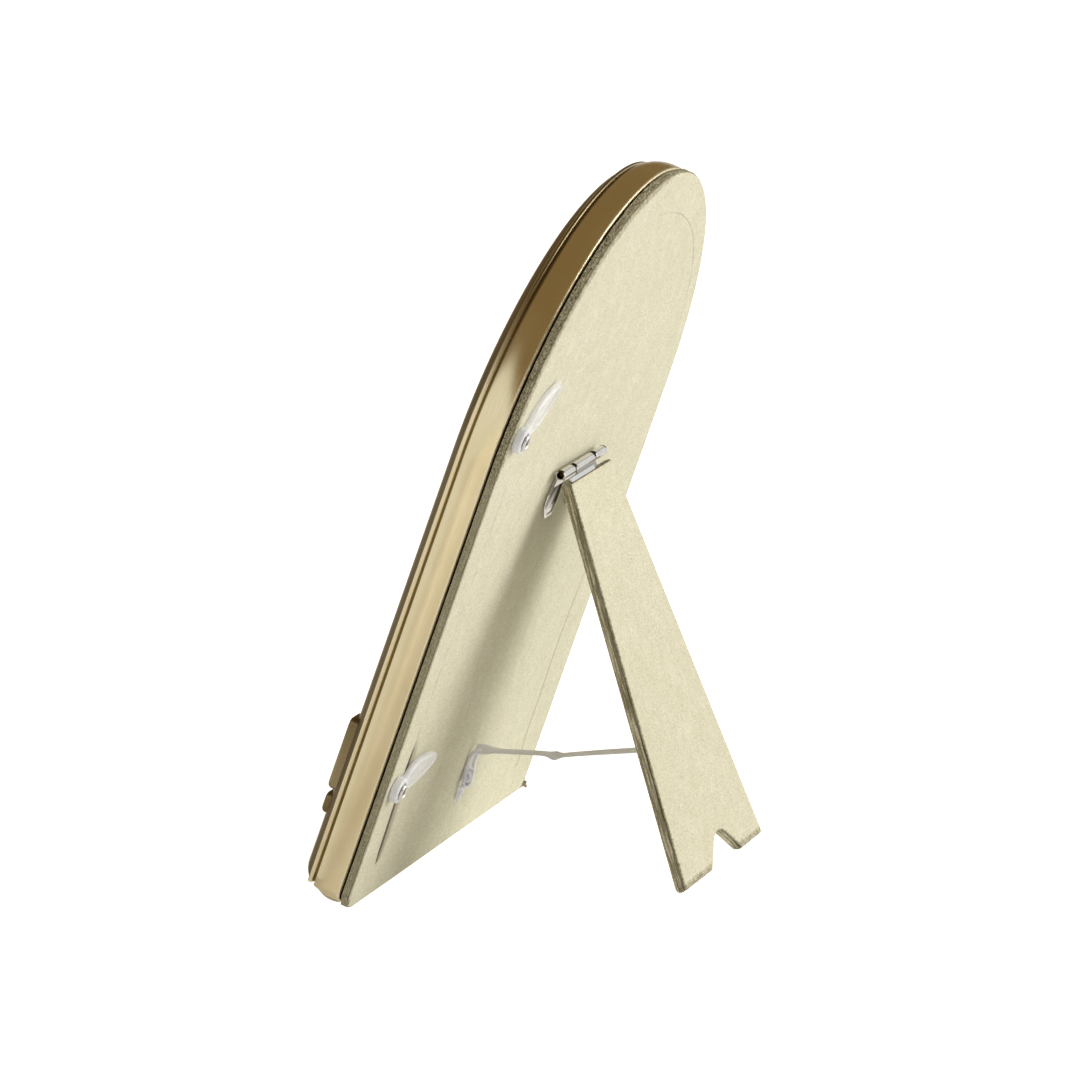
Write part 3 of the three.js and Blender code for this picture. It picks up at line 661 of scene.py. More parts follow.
def gold_finish(name, age):
    """Satin gold: fine streaks along the moulding, warm patches, painted shade in recesses and painted
    highlights on edges.
    """
    material, tree, shader = new_finish(name, light(242, 229, 180), 0.24, 1.0)
    travel = add_node(tree, "ShaderNodeCombineXYZ",
                      {0: read_value(tree, "along"), 1: read_value(tree, "across"), 2: 0.0}).outputs[0]
    streak = place_group(tree, streak_group, {"Place": travel, "Stretch": (0.02, 1.0, 1.0), "Fineness": 5.0})
    fibres = fibre_grain(tree, 2600.0, 90.0)
    specks = place_group(tree, speck_group,
                         {"Place": object_place(tree), "Spacing": 190.0, "Size": 0.07, "Share": 0.04})
    dust = place_group(tree, speck_group,
                       {"Place": object_place(tree), "Spacing": 430.0, "Size": 0.07, "Share": 0.1})
    patch = value_range(tree, fibres["Mottle"], 0.3, 0.7, 0.0, 1.0)
    tone = mix_colour(tree, patch, light(236, 222, 180), light(243, 230, 190))
    lined = math_node(tree, "MULTIPLY", value_range(tree, streak["Streak"], 0.3, 0.75, 0.0, 1.0), 0.2)
    tone = mix_colour(tree, lined, tone, light(204, 185, 139))
    hollow = read_value(tree, "hollow")
    tone = mix_colour(tree, age, tone, light(150, 134, 100))
    # Painted shade: marked recesses and flanks are darkened to brown, and the rear step to near black
    tone = mix_colour(tree, math_node(tree, "MULTIPLY", hollow, 0.85), tone, light(88, 66, 22))
    tone = mix_colour(tree, value_range(tree, hollow, 1.0, 1.5, 0.0, 1.0), tone, light(22, 16, 9))
    # Painted highlight: marked edges are lightened to pale cream
    edge = read_value(tree, "edge")
    tone = mix_colour(tree, math_node(tree, "MULTIPLY", edge, 0.6), tone, light(250, 241, 208))
    tone = mix_colour(tree, math_node(tree, "MULTIPLY", dust["Mask"], 0.6), tone, light(252, 246, 226))
    tone = mix_colour(tree, specks["Mask"], tone, light(70, 52, 30))
    tree.links.new(tone, shader.inputs["Base Color"])
    rough = value_range(tree, streak["Streak"], 0.3, 0.75, 0.17, 0.28)
    rough = math_node(tree, "ADD", rough, math_node(tree, "MULTIPLY", dust["Mask"], 0.4))
    dulled = math_node(tree, "MULTIPLY", math_node(tree, "ADD", hollow, edge), 0.2)
    tree.links.new(math_node(tree, "ADD", rough, dulled), shader.inputs["Roughness"])
    bump(tree, shader, math_node(tree, "ADD", streak["Streak"], fibres["Height"]), 0.1, 0.00004)
    return material


moulding_gold = gold_finish("satin gold", 0.0)
pad_gold = gold_finish("aged gold", 0.8)
print("finishes", moulding_gold.name, pad_gold.name)

# %% Moulding section
# Depths forward of the seat at which the section has its features, and the top of its crown
LIP_AT = 7.4
GROOVE_AT = 7.7
BEAD_AT = 8.6
CROWN_FOOT_AT = 9.4
SIGHT_STEP_AT = 9.45
CROWN_TOP = [8.2, 11.65]
crown_outer = bowed([3.45, 9.65], CROWN_TOP, -0.62, 9)
crown_inner = bowed(CROWN_TOP, [12.0, 9.9], -0.35, 8)
moulding_outline = np.concatenate([
    [[1.8, 0], [1.8, 0.45], [0.7, 0.45]], bowed([0.3, 0.75], [1.5, 7.3], -0.75, 12),
    [[1.85, 7.45], [2.7, 7.55], [2.7, 7.9], [2.35, 8.02], [2.02, 8.3], [1.92, 8.66], [2.08, 9.02],
     [2.5, 9.26], [3.15, 9.3], [3.2, 9.5]], crown_outer, crown_inner[1:],
    [[12.1, 9.45], [13.6, 9.25], [14.6, 9.0], [15.05, 8.7], [15.2, 8.3], [15.2, 7.5], [11.6, 7.5], [11.6, 0],
     [9.8, 0], [9.8, 8.3], [9.2, 8.9], [5.4, 8.9], [4.6, 7.7], [2.9, 4.4], [2.9, 0]]])
moulding_section = round_corners(moulding_outline, 0.16, 4)
inset, forward = moulding_section.T
# Painted shade in the recesses: groove, foot of the crown, step at the rear and step at the sight edge
groove = bell(forward, GROOVE_AT, 0.26) * within(inset, 1.8, 3)
crown_foot = 1.1 * bell(forward, CROWN_FOOT_AT, 0.3) * within(inset, 2.3, 4.2)
rear_step = 1.5 * (forward < 0.6) * within(inset, 0.8, 3)
sight_step = bell(forward, SIGHT_STEP_AT, 0.2) * within(inset, 11.9, 12.6)
painted_shade_line = np.max([groove, crown_foot, rear_step, sight_step], axis=0)
# Painted highlights on the rear bevel and the bead, and painted shade on the flank of the crown and, round
# the arch, on the bead and the lip of the band
rear_bevel_highlight = within(forward, 0.4, 1.0) * (inset < 0.85)
bead_highlight = bell(forward, BEAD_AT, 0.35) * (inset < 2.6)
bead_flank = bell(forward, BEAD_AT, 0.5) * (inset < 2.8)
band_lip = bell(forward, LIP_AT, 0.3) * within(inset, 1.2, 3)
crown_flank = (1 - ease(inset, 4.4, 7.0)) * (forward > 9.5)
print("section", round(float(np.ptp(inset)), 1), "by", round(float(np.ptp(forward)), 1), "mm")

# %% Moulding shape
stations = arch_stations(40, 300, 40)
run = stations[2]
round_top = (ease(run, SPRING + 10, SPRING + 50) * (run < ARCH_END))[:, None]
painted_shade_grid = np.maximum(painted_shade_line, 0.95 * round_top * np.maximum(bead_flank, band_lip))
painted_shade_grid = np.maximum(painted_shade_grid, (1.0 - 0.2 * round_top) * crown_flank)
painted_highlight_grid = np.maximum(rear_bevel_highlight, (0.9 - 0.9 * round_top) * bead_highlight)
moulding_points = blunt_corner(sweep_round(inset, SEAT - forward, stations), 1)
moulding_points = blunt_corner(moulding_points, -1)
# hollow carries the painted shade and edge the painted highlights
moulding = make_piece("moulding_gold", [ring_shell(
    moulding_points, place_on_frame, along=run[:, None], across=run_along(moulding_section),
    hollow=painted_shade_grid, edge=painted_highlight_grid)], moulding_gold, sharp=50)
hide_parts("frame_moulding")
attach(moulding, "frame")

# %% [markdown]
# Two raised pads on the front.
# At one side the front of the moulding carries two small raised pads. From behind only their outline shows,
# so they are kept plain: rounded blocks with soft shoulders, whose feet are sunk in the crown. A stack of
# shrinking outlines makes such a block, because each outline is one row of a grid.

# %% Ornament pads
PAD_INSET = 8.0
PAD_FOOT = 10.6
PAD_CORNER = 1.6
PAD_SHOULDER = 1.0


def stacked_outline(outline, levels):
    """Rows of one outline: each level gives how far it is drawn in from its edge and how high it lies."""
    outline = np.asarray(outline, float)
    middle = (outline.min(0) + outline.max(0)) / 2
    half = (outline.max(0) - outline.min(0)) / 2
    drawn_in = np.array([level[0] for level in levels])[:, None, None]
    height = np.array([level[1] for level in levels])[:, None]
    flat = middle + (outline - middle) * (1 - drawn_in / half)
    return np.stack([flat[..., 0], np.broadcast_to(height, flat.shape[:2]), flat[..., 1]], -1)


def pad_shell(half_wide, low, high, stand):
    """A raised pad: straight foot inside the crown, then a quarter round up to a gently domed face."""
    corners = [[-half_wide, low], [half_wide, low], [half_wide, high], [-half_wide, high]]
    front = SEAT - CROWN_TOP[1] - stand
    turn = np.linspace(0, np.pi / 2, 9)
    levels = [(0.0, SEAT - PAD_FOOT), (0.0, front + PAD_SHOULDER)]
    levels += list(zip(PAD_SHOULDER * (1 - np.cos(turn)), front + PAD_SHOULDER * (1 - np.sin(turn))))
    levels += [(1.6, front - 0.06), (2.4, front - 0.1)]
    points = stacked_outline(round_corners(corners, PAD_CORNER, 10), levels)
    points[..., 0] += RADIUS - PAD_INSET
    # Painted shade: the upper end of each pad is darkened through hollow
    painted_top_shade = 0.7 * ease(points[..., 2], high - 6, high - 4.5)
    return capped_shell(points, place_on_frame,
                        along=points[..., 2], across=points[..., 0], hollow=painted_top_shade, edge=0.0)


# Each pad's half width, lower and upper end, and how far it stands above the crown
for pad_name, node_name, sizes in [("pad_bar_gold", "ornament_bar", (3.4, 24.2, 42.2, 1.4)),
                                   ("pad_stud_gold", "ornament_stud", (2.6, 17.9, 23.2, 1.1))]:
    pad = make_piece(pad_name, [pad_shell(*sizes)], pad_gold, sharp=50)
    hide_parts(node_name)
    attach(pad, "frame")

# %% [markdown]
# Glass, blank picture and filler.
# These three sit in the rabbet. Glass and picture are only seen from the front, and the filler isn't seen.
# Their CAD shapes are already right, so they keep them and only get finishes: clear glass with faint
# smears, a blank sheet of warm paper, and a brown filler board.

# %% Finishes of the contents


def dress_node(name, material):
    """Gives a CAD piece its finish without touching its shape."""
    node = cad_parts[name]
    node.data.materials.clear()
    node.data.materials.append(material)
    print(name, "wears", material.name)


glass_finish, tree, shader = new_finish("clear glass", (0.96, 0.985, 0.975, 1), 0.03)
smears = fibre_grain(tree, 300.0, 26.0)
tree.links.new(value_range(tree, smears["Mottle"], 0.45, 0.75, 0.02, 0.09), shader.inputs["Roughness"])
shader.inputs["Transmission Weight"].default_value = 1.0
shader.inputs["IOR"].default_value = 1.5
dress_node("glass_pane", glass_finish)

paper_finish, tree, shader = new_finish("blank paper", light(243, 239, 230), 0.75)
fibres = fibre_grain(tree, 2400.0, 40.0)
tree.links.new(mix_colour(tree, fibres["Mottle"], light(246, 243, 235), light(238, 233, 222)),
               shader.inputs["Base Color"])
bump(tree, shader, fibres["Height"], 0.15, 0.00005)
dress_node("picture_blank", paper_finish)

filler_finish, tree, shader = new_finish("filler board", light(176, 148, 108), 0.9)
fibres = fibre_grain(tree, 1500.0, 120.0)
tree.links.new(mix_colour(tree, fibres["Mottle"], light(150, 122, 84), light(192, 166, 126)),
               shader.inputs["Base Color"])
bump(tree, shader, fibres["Height"], 0.4, 0.0002)
dress_node("filler_board", filler_finish)

# %% [markdown]
# Greyboard.
# The back and the strut are cut from pressed grey pulp board. A clean cut is olive grey with faint layers,
# a torn cut is dark and flecked, and a sawn one shows the layers as streaks. Each point of a board carries
# how torn or sawn it is and how deep in the board it lies, and the finish mixes the looks from that. At one
# lower corner of the back a torn scrap of board still hangs on, a crumpled ball in shape.

# %% Greyboard finish
board_finish, tree, shader = new_finish("pressed greyboard", light(138, 133, 104), 0.93)
torn = read_value(tree, "torn")
layer = read_value(tree, "layer")
fibres = fibre_grain(tree, 2600.0, 520.0)
travel = add_node(tree, "ShaderNodeCombineXYZ", {0: read_value(tree, "along"), 1: layer, 2: 0.0}).outputs[0]
plies = place_group(tree, streak_group, {"Place": travel, "Stretch": (0.05, 1.0, 1.0), "Fineness": 2.1})
ply = value_range(tree, plies["Streak"], 0.44, 0.56, 0.0, 1.0)
fleck = value_range(tree, fibres["Height"], 0.4, 0.62, 0.0, 1.0)
clean = mix_colour(tree, fleck, light(158, 154, 124), light(190, 186, 156))
clean = mix_colour(tree, math_node(tree, "MULTIPLY", ply, 0.25), clean, light(140, 135, 106))
ragged = mix_colour(tree, fleck, light(98, 91, 60), light(206, 200, 168))
sawn = mix_colour(tree, fleck, light(186, 180, 148), light(228, 223, 198))
sawn = mix_colour(tree, math_node(tree, "MULTIPLY", ply, 0.85), sawn, light(112, 105, 75))
tone = mix_colour(tree, torn, clean, ragged)
tone = mix_colour(tree, read_value(tree, "sawn"), tone, sawn)
# Painted shade: a dark line along the strut's groove beside its rear flock
tone = mix_colour(tree, read_value(tree, "shade"), tone, light(66, 60, 40))
tree.links.new(tone, shader.inputs["Base Color"])
board_height = math_node(tree, "ADD", fibres["Height"], math_node(tree, "MULTIPLY", ply, -0.8))
bump(tree, shader, board_height, 0.8, 0.0003)
dress_node("door_board", board_finish)

# %% Border board
WAVES = 40
BORDER_PLIES = 12


def ragged_noise(first, second, seed, first_rate, second_rate):
    """A sum of sine waves with seeded directions and phases, about one unit high."""
    roll = np.random.default_rng(seed)
    first_turn = roll.normal(0, first_rate, WAVES)
    second_turn = roll.normal(0, second_rate, WAVES)
    phase = roll.uniform(0, 2 * np.pi, WAVES)
    angle = first[..., None] * first_turn + second[..., None] * second_turn + phase
    return np.sin(angle).sum(-1) / math.sqrt(WAVES / 2)


border_stations = arch_stations(60, 320, 60, FOOT_BORDER / BORDER)
run = border_stations[2][:, None]
ply_share = np.linspace(0, 1, BORDER_PLIES)
border_inset = np.concatenate([0 * ply_share, [BORDER / 2, BORDER, BORDER, BORDER / 2]])
border_out = np.concatenate([-CORE * (1 - ply_share), [0.0, 0.0, -CORE, -CORE]])
outer_edge = np.concatenate([np.ones(BORDER_PLIES), np.zeros(4)])
on_arch = ease(run, SPRING - 8, SPRING + 6) * (1 - ease(run, ARCH_END - 6, ARCH_END + 8))
tear = ragged_noise(run + 0 * border_out, border_out + 0 * run, 3, 2.6, 4.0)
bite = (0.02 + 0.1 * on_arch) * np.maximum(tear + 0.6, 0) * outer_edge
border_points = blunt_corner(sweep_round(border_inset + bite, border_out + 0 * bite, border_stations), 1)
border_shell = ring_shell(border_points, place_on_frame,
                          torn=0.2 + 0.8 * on_arch, layer=border_out, along=run)
print("deepest bite of the torn edge", round(float(bite.max()), 2), "mm")

# %% Torn scrap at the corner of the border
SCRAP_AT = [-62.4, 0.6, 1.35]
around = np.linspace(0, 2 * np.pi, 28, endpoint=False)[None]
over = np.linspace(0, np.pi, 15)[:, None]
crumple = 1 + 0.4 * ragged_noise(5 * np.cos(around) * np.sin(over), 5 * np.cos(over) + np.sin(around),
                                 5, 1.0, 1.0)
scrap = np.stack([0.7 * np.sin(over) * np.cos(around) * crumple, 0.62 * np.cos(over) * crumple,
                  0.6 * np.sin(over) * np.sin(around) * crumple], -1) + SCRAP_AT
scrap_shell = shell(scrap, place_on_frame, grid_faces(*scrap.shape[:2], join_columns=True),
                    torn=0.7, layer=0.0, along=0.0)
border = make_piece("border_greyboard", [border_shell, scrap_shell], board_finish, sharp=55)
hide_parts("border_board")
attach(border, "frame")

# %% [markdown]
# The flocked back.
# One sheet of cream flock covers the border and the door in it. Where the door was cut, the flock is open at
# one side and only creased round the arch, and along the foot it is whole, because there it is the
# hinge of the door. The sheet is one grid from its outer edge to its middle, with a row of narrow rings
# along the cut, so the cut can be deep in one place and fade away in another.

# %% Flock finish


def flock_finish(name, fresh, shaded):
    """Short cream fibres: matt, finely grained, brown painted shade in the cut, and grey where worn off the
    board.
    """
    material, tree, shader = new_finish(name, fresh, 0.95)
    fibres = fibre_grain(tree, 2250.0, 55.0)
    cloud = fibre_grain(tree, 1000.0, 240.0)
    specks = place_group(tree, speck_group,
                         {"Place": object_place(tree), "Spacing": 75.0, "Size": 0.024, "Share": 0.08})
    tone = mix_colour(tree, value_range(tree, fibres["Mottle"], 0.3, 0.7, 0, 1), shaded, fresh)
    pile = value_range(tree, fibres["Height"], 0.39, 0.61, 0.0, 0.95)
    tone = mix_colour(tree, pile, tone, light(184, 181, 151))
    pale = value_range(tree, cloud["Mottle"], 0.45, 0.75, 0.0, 0.2)
    tone = mix_colour(tree, pale, tone, light(236, 233, 212))
    tone = mix_colour(tree, math_node(tree, "MULTIPLY", specks["Mask"], 0.6), tone, light(126, 110, 80))
    uneven = value_range(tree, fibres["Height"], 0.3, 0.7, -0.4, 0.4)
    ragged = math_node(tree, "ADD", read_value(tree, "worn"), uneven)
    bare = value_range(tree, ragged, 0.42, 0.68, 0.0, 1.0)
    board = mix_colour(tree, value_range(tree, cloud["Height"], 0.4, 0.62, 0.0, 1.0), light(134, 128, 102),
                       light(188, 182, 156))
    tone = mix_colour(tree, bare, tone, board)
    # Painted shade: where cut is set, the flock is darkened to brown in the slit and along the crease, with a
    # painted shadow beside the slit
    tone = mix_colour(tree, read_value(tree, "cut"), tone, light(72, 52, 29))
    tree.links.new(tone, shader.inputs["Base Color"])
    height = math_node(tree, "ADD", fibres["Height"], math_node(tree, "MULTIPLY", cloud["Height"], 0.7))
    bump(tree, shader, height, 0.6, 0.00025)
    shader.inputs["Sheen Weight"].default_value = 0.15
    shader.inputs["Sheen Roughness"].default_value = 0.5
    return material


cream_flock = flock_finish("cream flock", light(219, 216, 196), light(212, 209, 186))
print("finish", cream_flock.name)

# %% Cut in the flock
# The line of the cut: places along the run from one foot to the other, and the inset of the cut there
cut_run = [0, 19, 37.5, 55.5, 110, 168, 194, 226, 240, 255, 276, 310, 350, 384, 399.5, 412, 415, 418.8, 424]
cut_inset = [12.8, 11.3, 10.2, 9.6, 10.4, 11.4, 10.2, 10.2, 9.3, 7.6, 5.8, 8.0, 13.4, 16.0, 15.0,
             14.6, 13.6, 13.2, 12.6]
back_stations = arch_stations(110, 320, 70, FOOT_BORDER / BORDER)
run = back_stations[2]
cut_line = np.interp(run, cut_run, cut_inset)
broken = ease(ragged_noise(run, 0 * run, 21, 1.1, 1.0), -0.4, 0.6)
# Along the run the cut is an open slit, then a dotted line, a crease over the arch, and a cut that has closed
slit = 1 - ease(run, 30, 40)
dotted = ease(run, 32, 40) * (1 - ease(run, 104, 116)) * broken
crease = (0.2 * ease(run, 150, 190) + 0.8 * ease(run, 204, 236)) * (1 - ease(run, 276, 300))
right_cut = ease(run, 345, 372) * (1 - ease(run, 419, 424))
half_cut = 0.2 + 1.1 * slit * (0.4 + 0.6 * ease(run, 0, 5)) + 0.25 * dotted + 0.3 * right_cut
print("slit up to", round(2 * float(half_cut.max()), 1), "mm wide")

# %% Section of the flock sheet
EDGE_TRIM = 0.3
EDGE_SOFT = 0.28
SLIT_DEEP = 0.28
CREASE_DEEP = 0.14
LIP_HIGH = 0.06
UNDERSIDE = 0.12
NEAR_MIDDLE = RADIUS - 0.001
# Columns beside the cut, counted in half widths of the cut
offset = np.array([-4.5, -3, -2.2, -1.6, -1.2, -1, -0.8, -0.55, -0.25, 0,
                   0.25, 0.55, 0.8, 1, 1.2, 1.6, 2.2, 3, 4.5])
open_wall = 1 - ease(np.abs(offset), 0.5, 1.1)
soft_wall = bell(offset, 0, 1.3)
open_share = np.clip(slit + 0.25 * dotted + 0.3 * right_cut * broken, 0, 1)[:, None]
soft_share = np.clip(0.5 * dotted + crease + 0.8 * right_cut, 0, 1)[:, None]
dip = np.maximum(SLIT_DEEP * open_share * open_wall, CREASE_DEEP * soft_share * soft_wall)
lip = LIP_HIGH * (slit + 0.5 * crease)[:, None] * bell(offset, 2.6, 0.9)
# Insets and heights of all columns: soft edge, border, cut, door, and back along the underside
edge_turn = np.linspace(0, np.pi / 2, 6)
on_curve = ease(run, SPRING - 8, SPRING + 10) * (1 - ease(run, ARCH_END - 10, ARCH_END + 8))
soft_edge = EDGE_SOFT + 0.2 * on_curve[:, None]
edge_inset = EDGE_TRIM + soft_edge * (1 - np.cos(edge_turn))
edge_out = BACK - EDGE_SOFT + EDGE_SOFT * np.sin(edge_turn) + 0 * edge_inset
cut_across = cut_line[:, None] + half_cut[:, None] * offset
outer_inset = edge_inset[:, -1:] + (cut_across[:, :1] - edge_inset[:, -1:]) * [0.12, 0.3, 0.6, 0.85]
inner_inset = cut_across[:, -1:] + (NEAR_MIDDLE - cut_across[:, -1:]) * np.linspace(0.04, 1, 18)
under_inset = np.ones((len(run), 1)) * [NEAR_MIDDLE, 30.0, EDGE_TRIM]
sheet_inset = np.concatenate([edge_inset, outer_inset, cut_across, inner_inset, under_inset], 1)
sheet_out = np.concatenate([edge_out, np.full_like(outer_inset, BACK), BACK - dip + lip,
                            np.full_like(inner_inset, BACK), np.full_like(under_inset, UNDERSIDE)], 1)
sheet_points = blunt_corner(sweep_round(sheet_inset, sheet_out, back_stations), 1)
swell = 0.05 * np.sin(sheet_points[..., 0] / 15 + 1) * np.sin(sheet_points[..., 2] / 21 + 0.4)
sheet_points[..., 1] += swell * (sheet_inset > 1) * (sheet_out > 0.2)
print("sheet of", sheet_points.shape[0], "by", sheet_points.shape[1], "points")

# %% Wear and painted cut shade of the flock sheet
first_cut = edge_inset.shape[1] + outer_inset.shape[1]
# Painted shade in the crease and the closed cut, a painted shadow beside the slit, and painted shade in the
# open slit
painted_crease_shade = (0.3 + 0.3 * right_cut[:, None]) * soft_share * bell(offset, 0, 0.8)
painted_slit_shadow = 0.45 * slit[:, None] * bell(offset, 1.4, 0.8)
cut_shade_grid = np.zeros_like(sheet_inset)
cut_shade_grid[:, first_cut:first_cut + len(offset)] = np.max([open_share * open_wall, painted_crease_shade, painted_slit_shadow], axis=0)
near_curve = (on_curve * (1 - ease(run, SPRING + 0.42 * ARCH_RUN, SPRING + 0.56 * ARCH_RUN)))[:, None]
worn = (0.3 + 0.62 * near_curve) * (1 - ease(sheet_inset, EDGE_TRIM, 0.9 + 3.4 * near_curve))
from_corner = np.hypot(sheet_points[..., 0] - RADIUS, sheet_points[..., 2] - 2)
worn = np.maximum(worn, 0.9 * (1 - ease(from_corner, 0.8, 2.4)))
from_other_corner = np.hypot(sheet_points[..., 0] + RADIUS, sheet_points[..., 2])
worn = np.maximum(worn, 1 - ease(from_other_corner, 1.0, 2.2))
flock_sheet = make_piece("back_flock_sheet", [ring_shell(
    sheet_points, place_on_frame, cut=cut_shade_grid, worn=worn)], cream_flock, sharp=70)
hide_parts("back_flock")
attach(flock_sheet, "frame")

# %% [markdown]
# Turn buttons and their rivets.
# Two milky plastic buttons hold the door. Each is moulded in one: a round boss with a raised ring, a narrow
# neck and a leaf-shaped blade with a rim. A hollow nickel rivet is the pin. The blade is a section carried
# along its length whose width follows the leaf, and the boss and rivet are turned on a lathe.

# %% Plastic and nickel finishes
plastic_finish, tree, shader = new_finish("milky plastic", light(244, 244, 241), 0.3)
flow = fibre_grain(tree, 700.0, 160.0)
tree.links.new(mix_colour(tree, flow["Mottle"], light(236, 240, 246), light(248, 250, 254)),
               shader.inputs["Base Color"])
tree.links.new(value_range(tree, flow["Height"], 0.3, 0.7, 0.24, 0.38), shader.inputs["Roughness"])
thicker = value_range(tree, flow["Mottle"], 0.3, 0.7, 0.85, 1.1)
cloudy = math_node(tree, "MULTIPLY", thicker, read_value(tree, "milk"))
tree.links.new(cloudy, shader.inputs["Alpha"])
bump(tree, shader, flow["Height"], 0.12, 0.0001)

nickel_finish, tree, shader = new_finish("bright nickel", light(226, 226, 224), 0.12, 1.0)
scratch = place_group(tree, streak_group,
                      {"Place": object_place(tree), "Stretch": (40.0, 900.0, 900.0), "Fineness": 3.0})
dull = fibre_grain(tree, 1800.0, 300.0)
tarnish = read_value(tree, "tarnish")
bright = mix_colour(tree, dull["Mottle"], light(214, 214, 211), light(236, 236, 233))
# Painted shade: the marked parts of the nickel are darkened to dark brown and made rougher
tree.links.new(mix_colour(tree, tarnish, bright, light(58, 46, 30)), shader.inputs["Base Color"])
polish = value_range(tree, scratch["Streak"], 0.3, 0.7, 0.06, 0.2)
polish = math_node(tree, "ADD", polish, math_node(tree, "MULTIPLY", read_value(tree, "satin"), 0.2))
polish = math_node(tree, "ADD", polish, math_node(tree, "MULTIPLY", tarnish, 0.35))
tree.links.new(polish, shader.inputs["Roughness"])
uneven = math_node(tree, "ADD", scratch["Streak"], math_node(tree, "MULTIPLY", dull["Mottle"], 3.0))
bump(tree, shader, uneven, 0.2, 0.0001)
print("finishes", plastic_finish.name, nickel_finish.name)

# %% Lathe and leaf-shaped blade
BLADE_ROOT = 1.55
BLADE_REACH = 20.5
BLADE_HALF = 3.2
BLADE_STEPS = 90
NECK_HALF = 1.9
FLOOR_HIGH = 0.9
RIM_HIGH = 0.6


def lathe(profile, steps):
    """Turns a profile of radius and height about the upright line, as (across, out, up) rows."""
    angle = np.linspace(0, 2 * np.pi, steps, endpoint=False)
    radius = profile[:, :1]
    return np.stack([radius * np.cos(angle), profile[:, 1:] + 0 * angle, radius * np.sin(angle)], -1)


def blade_half(t):
    """Half width along the blade: a leaf from a power of a sine, and a neck near the boss."""
    leaf = BLADE_HALF * np.sin(np.pi * np.clip(t, 0, 1) ** 0.85) ** 0.8
    return np.maximum(leaf, NECK_HALF * (1 - ease(t, 0.1, 0.6)))


def blade_points():
    """Rows along the blade: flat underside, rounded flank, raised rim, and a floor with a low lens ridge."""
    t = 1 - (1 - np.linspace(0, 1, BLADE_STEPS)) ** 1.4
    t = np.minimum(t, 0.9985)
    half = np.maximum(blade_half(t), 0.12)[:, None]
    top = np.linspace(-1, 1, 41)
    from_edge = (1 - np.abs(top)) * half
    rim = 1 - ease(from_edge, 0.55, 0.85)
    ends = np.maximum(1 - ease(t, 0.12, 0.2), ease(t, 0.9, 0.96))[:, None]
    lens = 0.14 * bell(np.abs(top), 0.45, 0.06) * ease(from_edge, 0.9, 1.3)
    height = FLOOR_HIGH + RIM_HIGH * np.maximum(rim, ends) + lens * (1 - ends)
    height = height * (1 - 0.35 * ease(np.abs(top), 0.86, 1.0)) * (1 - 0.6 * ease(t, 0.9, 1.0))[:, None]
    under = 0 * half * [1, 1, 1]
    across = np.concatenate([half * top, half * [1.0, 0.0, -1.0]], 1)
    out = np.concatenate([height, 0.05 + under], 1)
    up = (BLADE_ROOT + (BLADE_REACH - BLADE_ROOT) * t)[:, None] + 0 * across
    milk = np.concatenate([0.36 + 0.2 * np.maximum(rim, ends), 0.34 + under], 1)
    return np.stack([across, out, up], -1), milk


print("blade reaches", BLADE_REACH, "mm and is", 2 * BLADE_HALF, "mm wide")

# %% Buttons on their rivets
RIVET_ACROSS = RADIUS - 5.1
BUTTON_GAP = 0.1
BOSS_STEPS = 64
RIVET_STEPS = 48
# Profiles of radius and height: the boss with its raised ring, and the hollow rivet with its flared tail
BOSS = round_corners([[3.1, 0.0], [3.1, 1.55], [2.75, 1.9], [2.2, 1.9], [2.0, 1.55], [1.2, 1.5], [1.2, 0.0]],
                     0.14, 4)
RIVET = round_corners([[0.0, -1.95], [1.4, -1.95], [1.45, -1.65], [1.1, -1.65], [1.1, 2.6], [1.9, 2.6],
                       [1.95, 2.85], [1.8, 3.1], [1.5, 3.2], [1.25, 3.0], [1.12, 2.6], [1.05, 1.7],
                       [0.0, 1.6]], 0.1, 4)


def turned_about_rivet(points, turn, up):
    """Turns a button about its rivet towards the middle of the back, and sets it on the flock."""
    angle = math.radians(turn)
    x = points[..., 0] * math.cos(angle) - points[..., 2] * math.sin(angle)
    z = points[..., 0] * math.sin(angle) + points[..., 2] * math.cos(angle)
    return np.stack([x + RIVET_ACROSS, points[..., 1] + BACK + BUTTON_GAP, z + up], -1)


# Each button's turn in degrees, its height up the back, and how far its tip stands off
for side_name, turn, up, lift in [("upper", 56, 118.8, 0.3), ("lower", 76, 30.6, 0.9)]:
    flat_blade, milk = blade_points()
    flat_blade[..., 1] += lift * ease(flat_blade[..., 2], 2, BLADE_REACH) ** 2
    blade = turned_about_rivet(flat_blade, turn, up)
    boss = turned_about_rivet(lathe(BOSS, BOSS_STEPS), turn, up)
    button = make_piece("button_%s_plastic" % side_name, [
        capped_shell(blade, place_on_frame, milk=milk), ring_shell(boss, place_on_frame, milk=0.72)],
        plastic_finish, sharp=45)
    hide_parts("turn_button_%s" % side_name)
    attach(button, "button_%s" % side_name)
    stem = lathe(RIVET, RIVET_STEPS) + [RIVET_ACROSS, 0, up]
    # Painted shade: the rivet's bore is darkened
    hole = (1 - ease(RIVET[:, :1], 1.05, 1.35)) * (RIVET[:, 1:] > 1.0)
    rivet = make_piece("rivet_%s_nickel" % side_name, [
        capped_shell(stem, place_on_frame, tarnish=0.7 * hole, satin=1.0)],
        nickel_finish, sharp=50)
    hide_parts("turn_button_rivet_%s" % side_name)
    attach(rivet, "frame")

# %% [markdown]
# The hinge.
# The hinge is pressed from thin bright sheet. Two pointed legs with rolled rims lie on the back, their upper
# edges roll into the outer knuckles, and the strut's leaf rolls into the middle one. Rolled sheet leaves a
# seam along each knuckle and an open end where the pin shows, and both are part of the shape here.

# %% Knuckles
# Radii of a knuckle and of its bore, and where the knuckles end on either side of the middle
KNUCKLE = 1.2
BORE = 0.74
MIDDLE_END = 6.8
OUTER_START = 7.7
OUTER_END = 15.5
AXIS = np.array([0, AXIS_OUT, AXIS_UP])


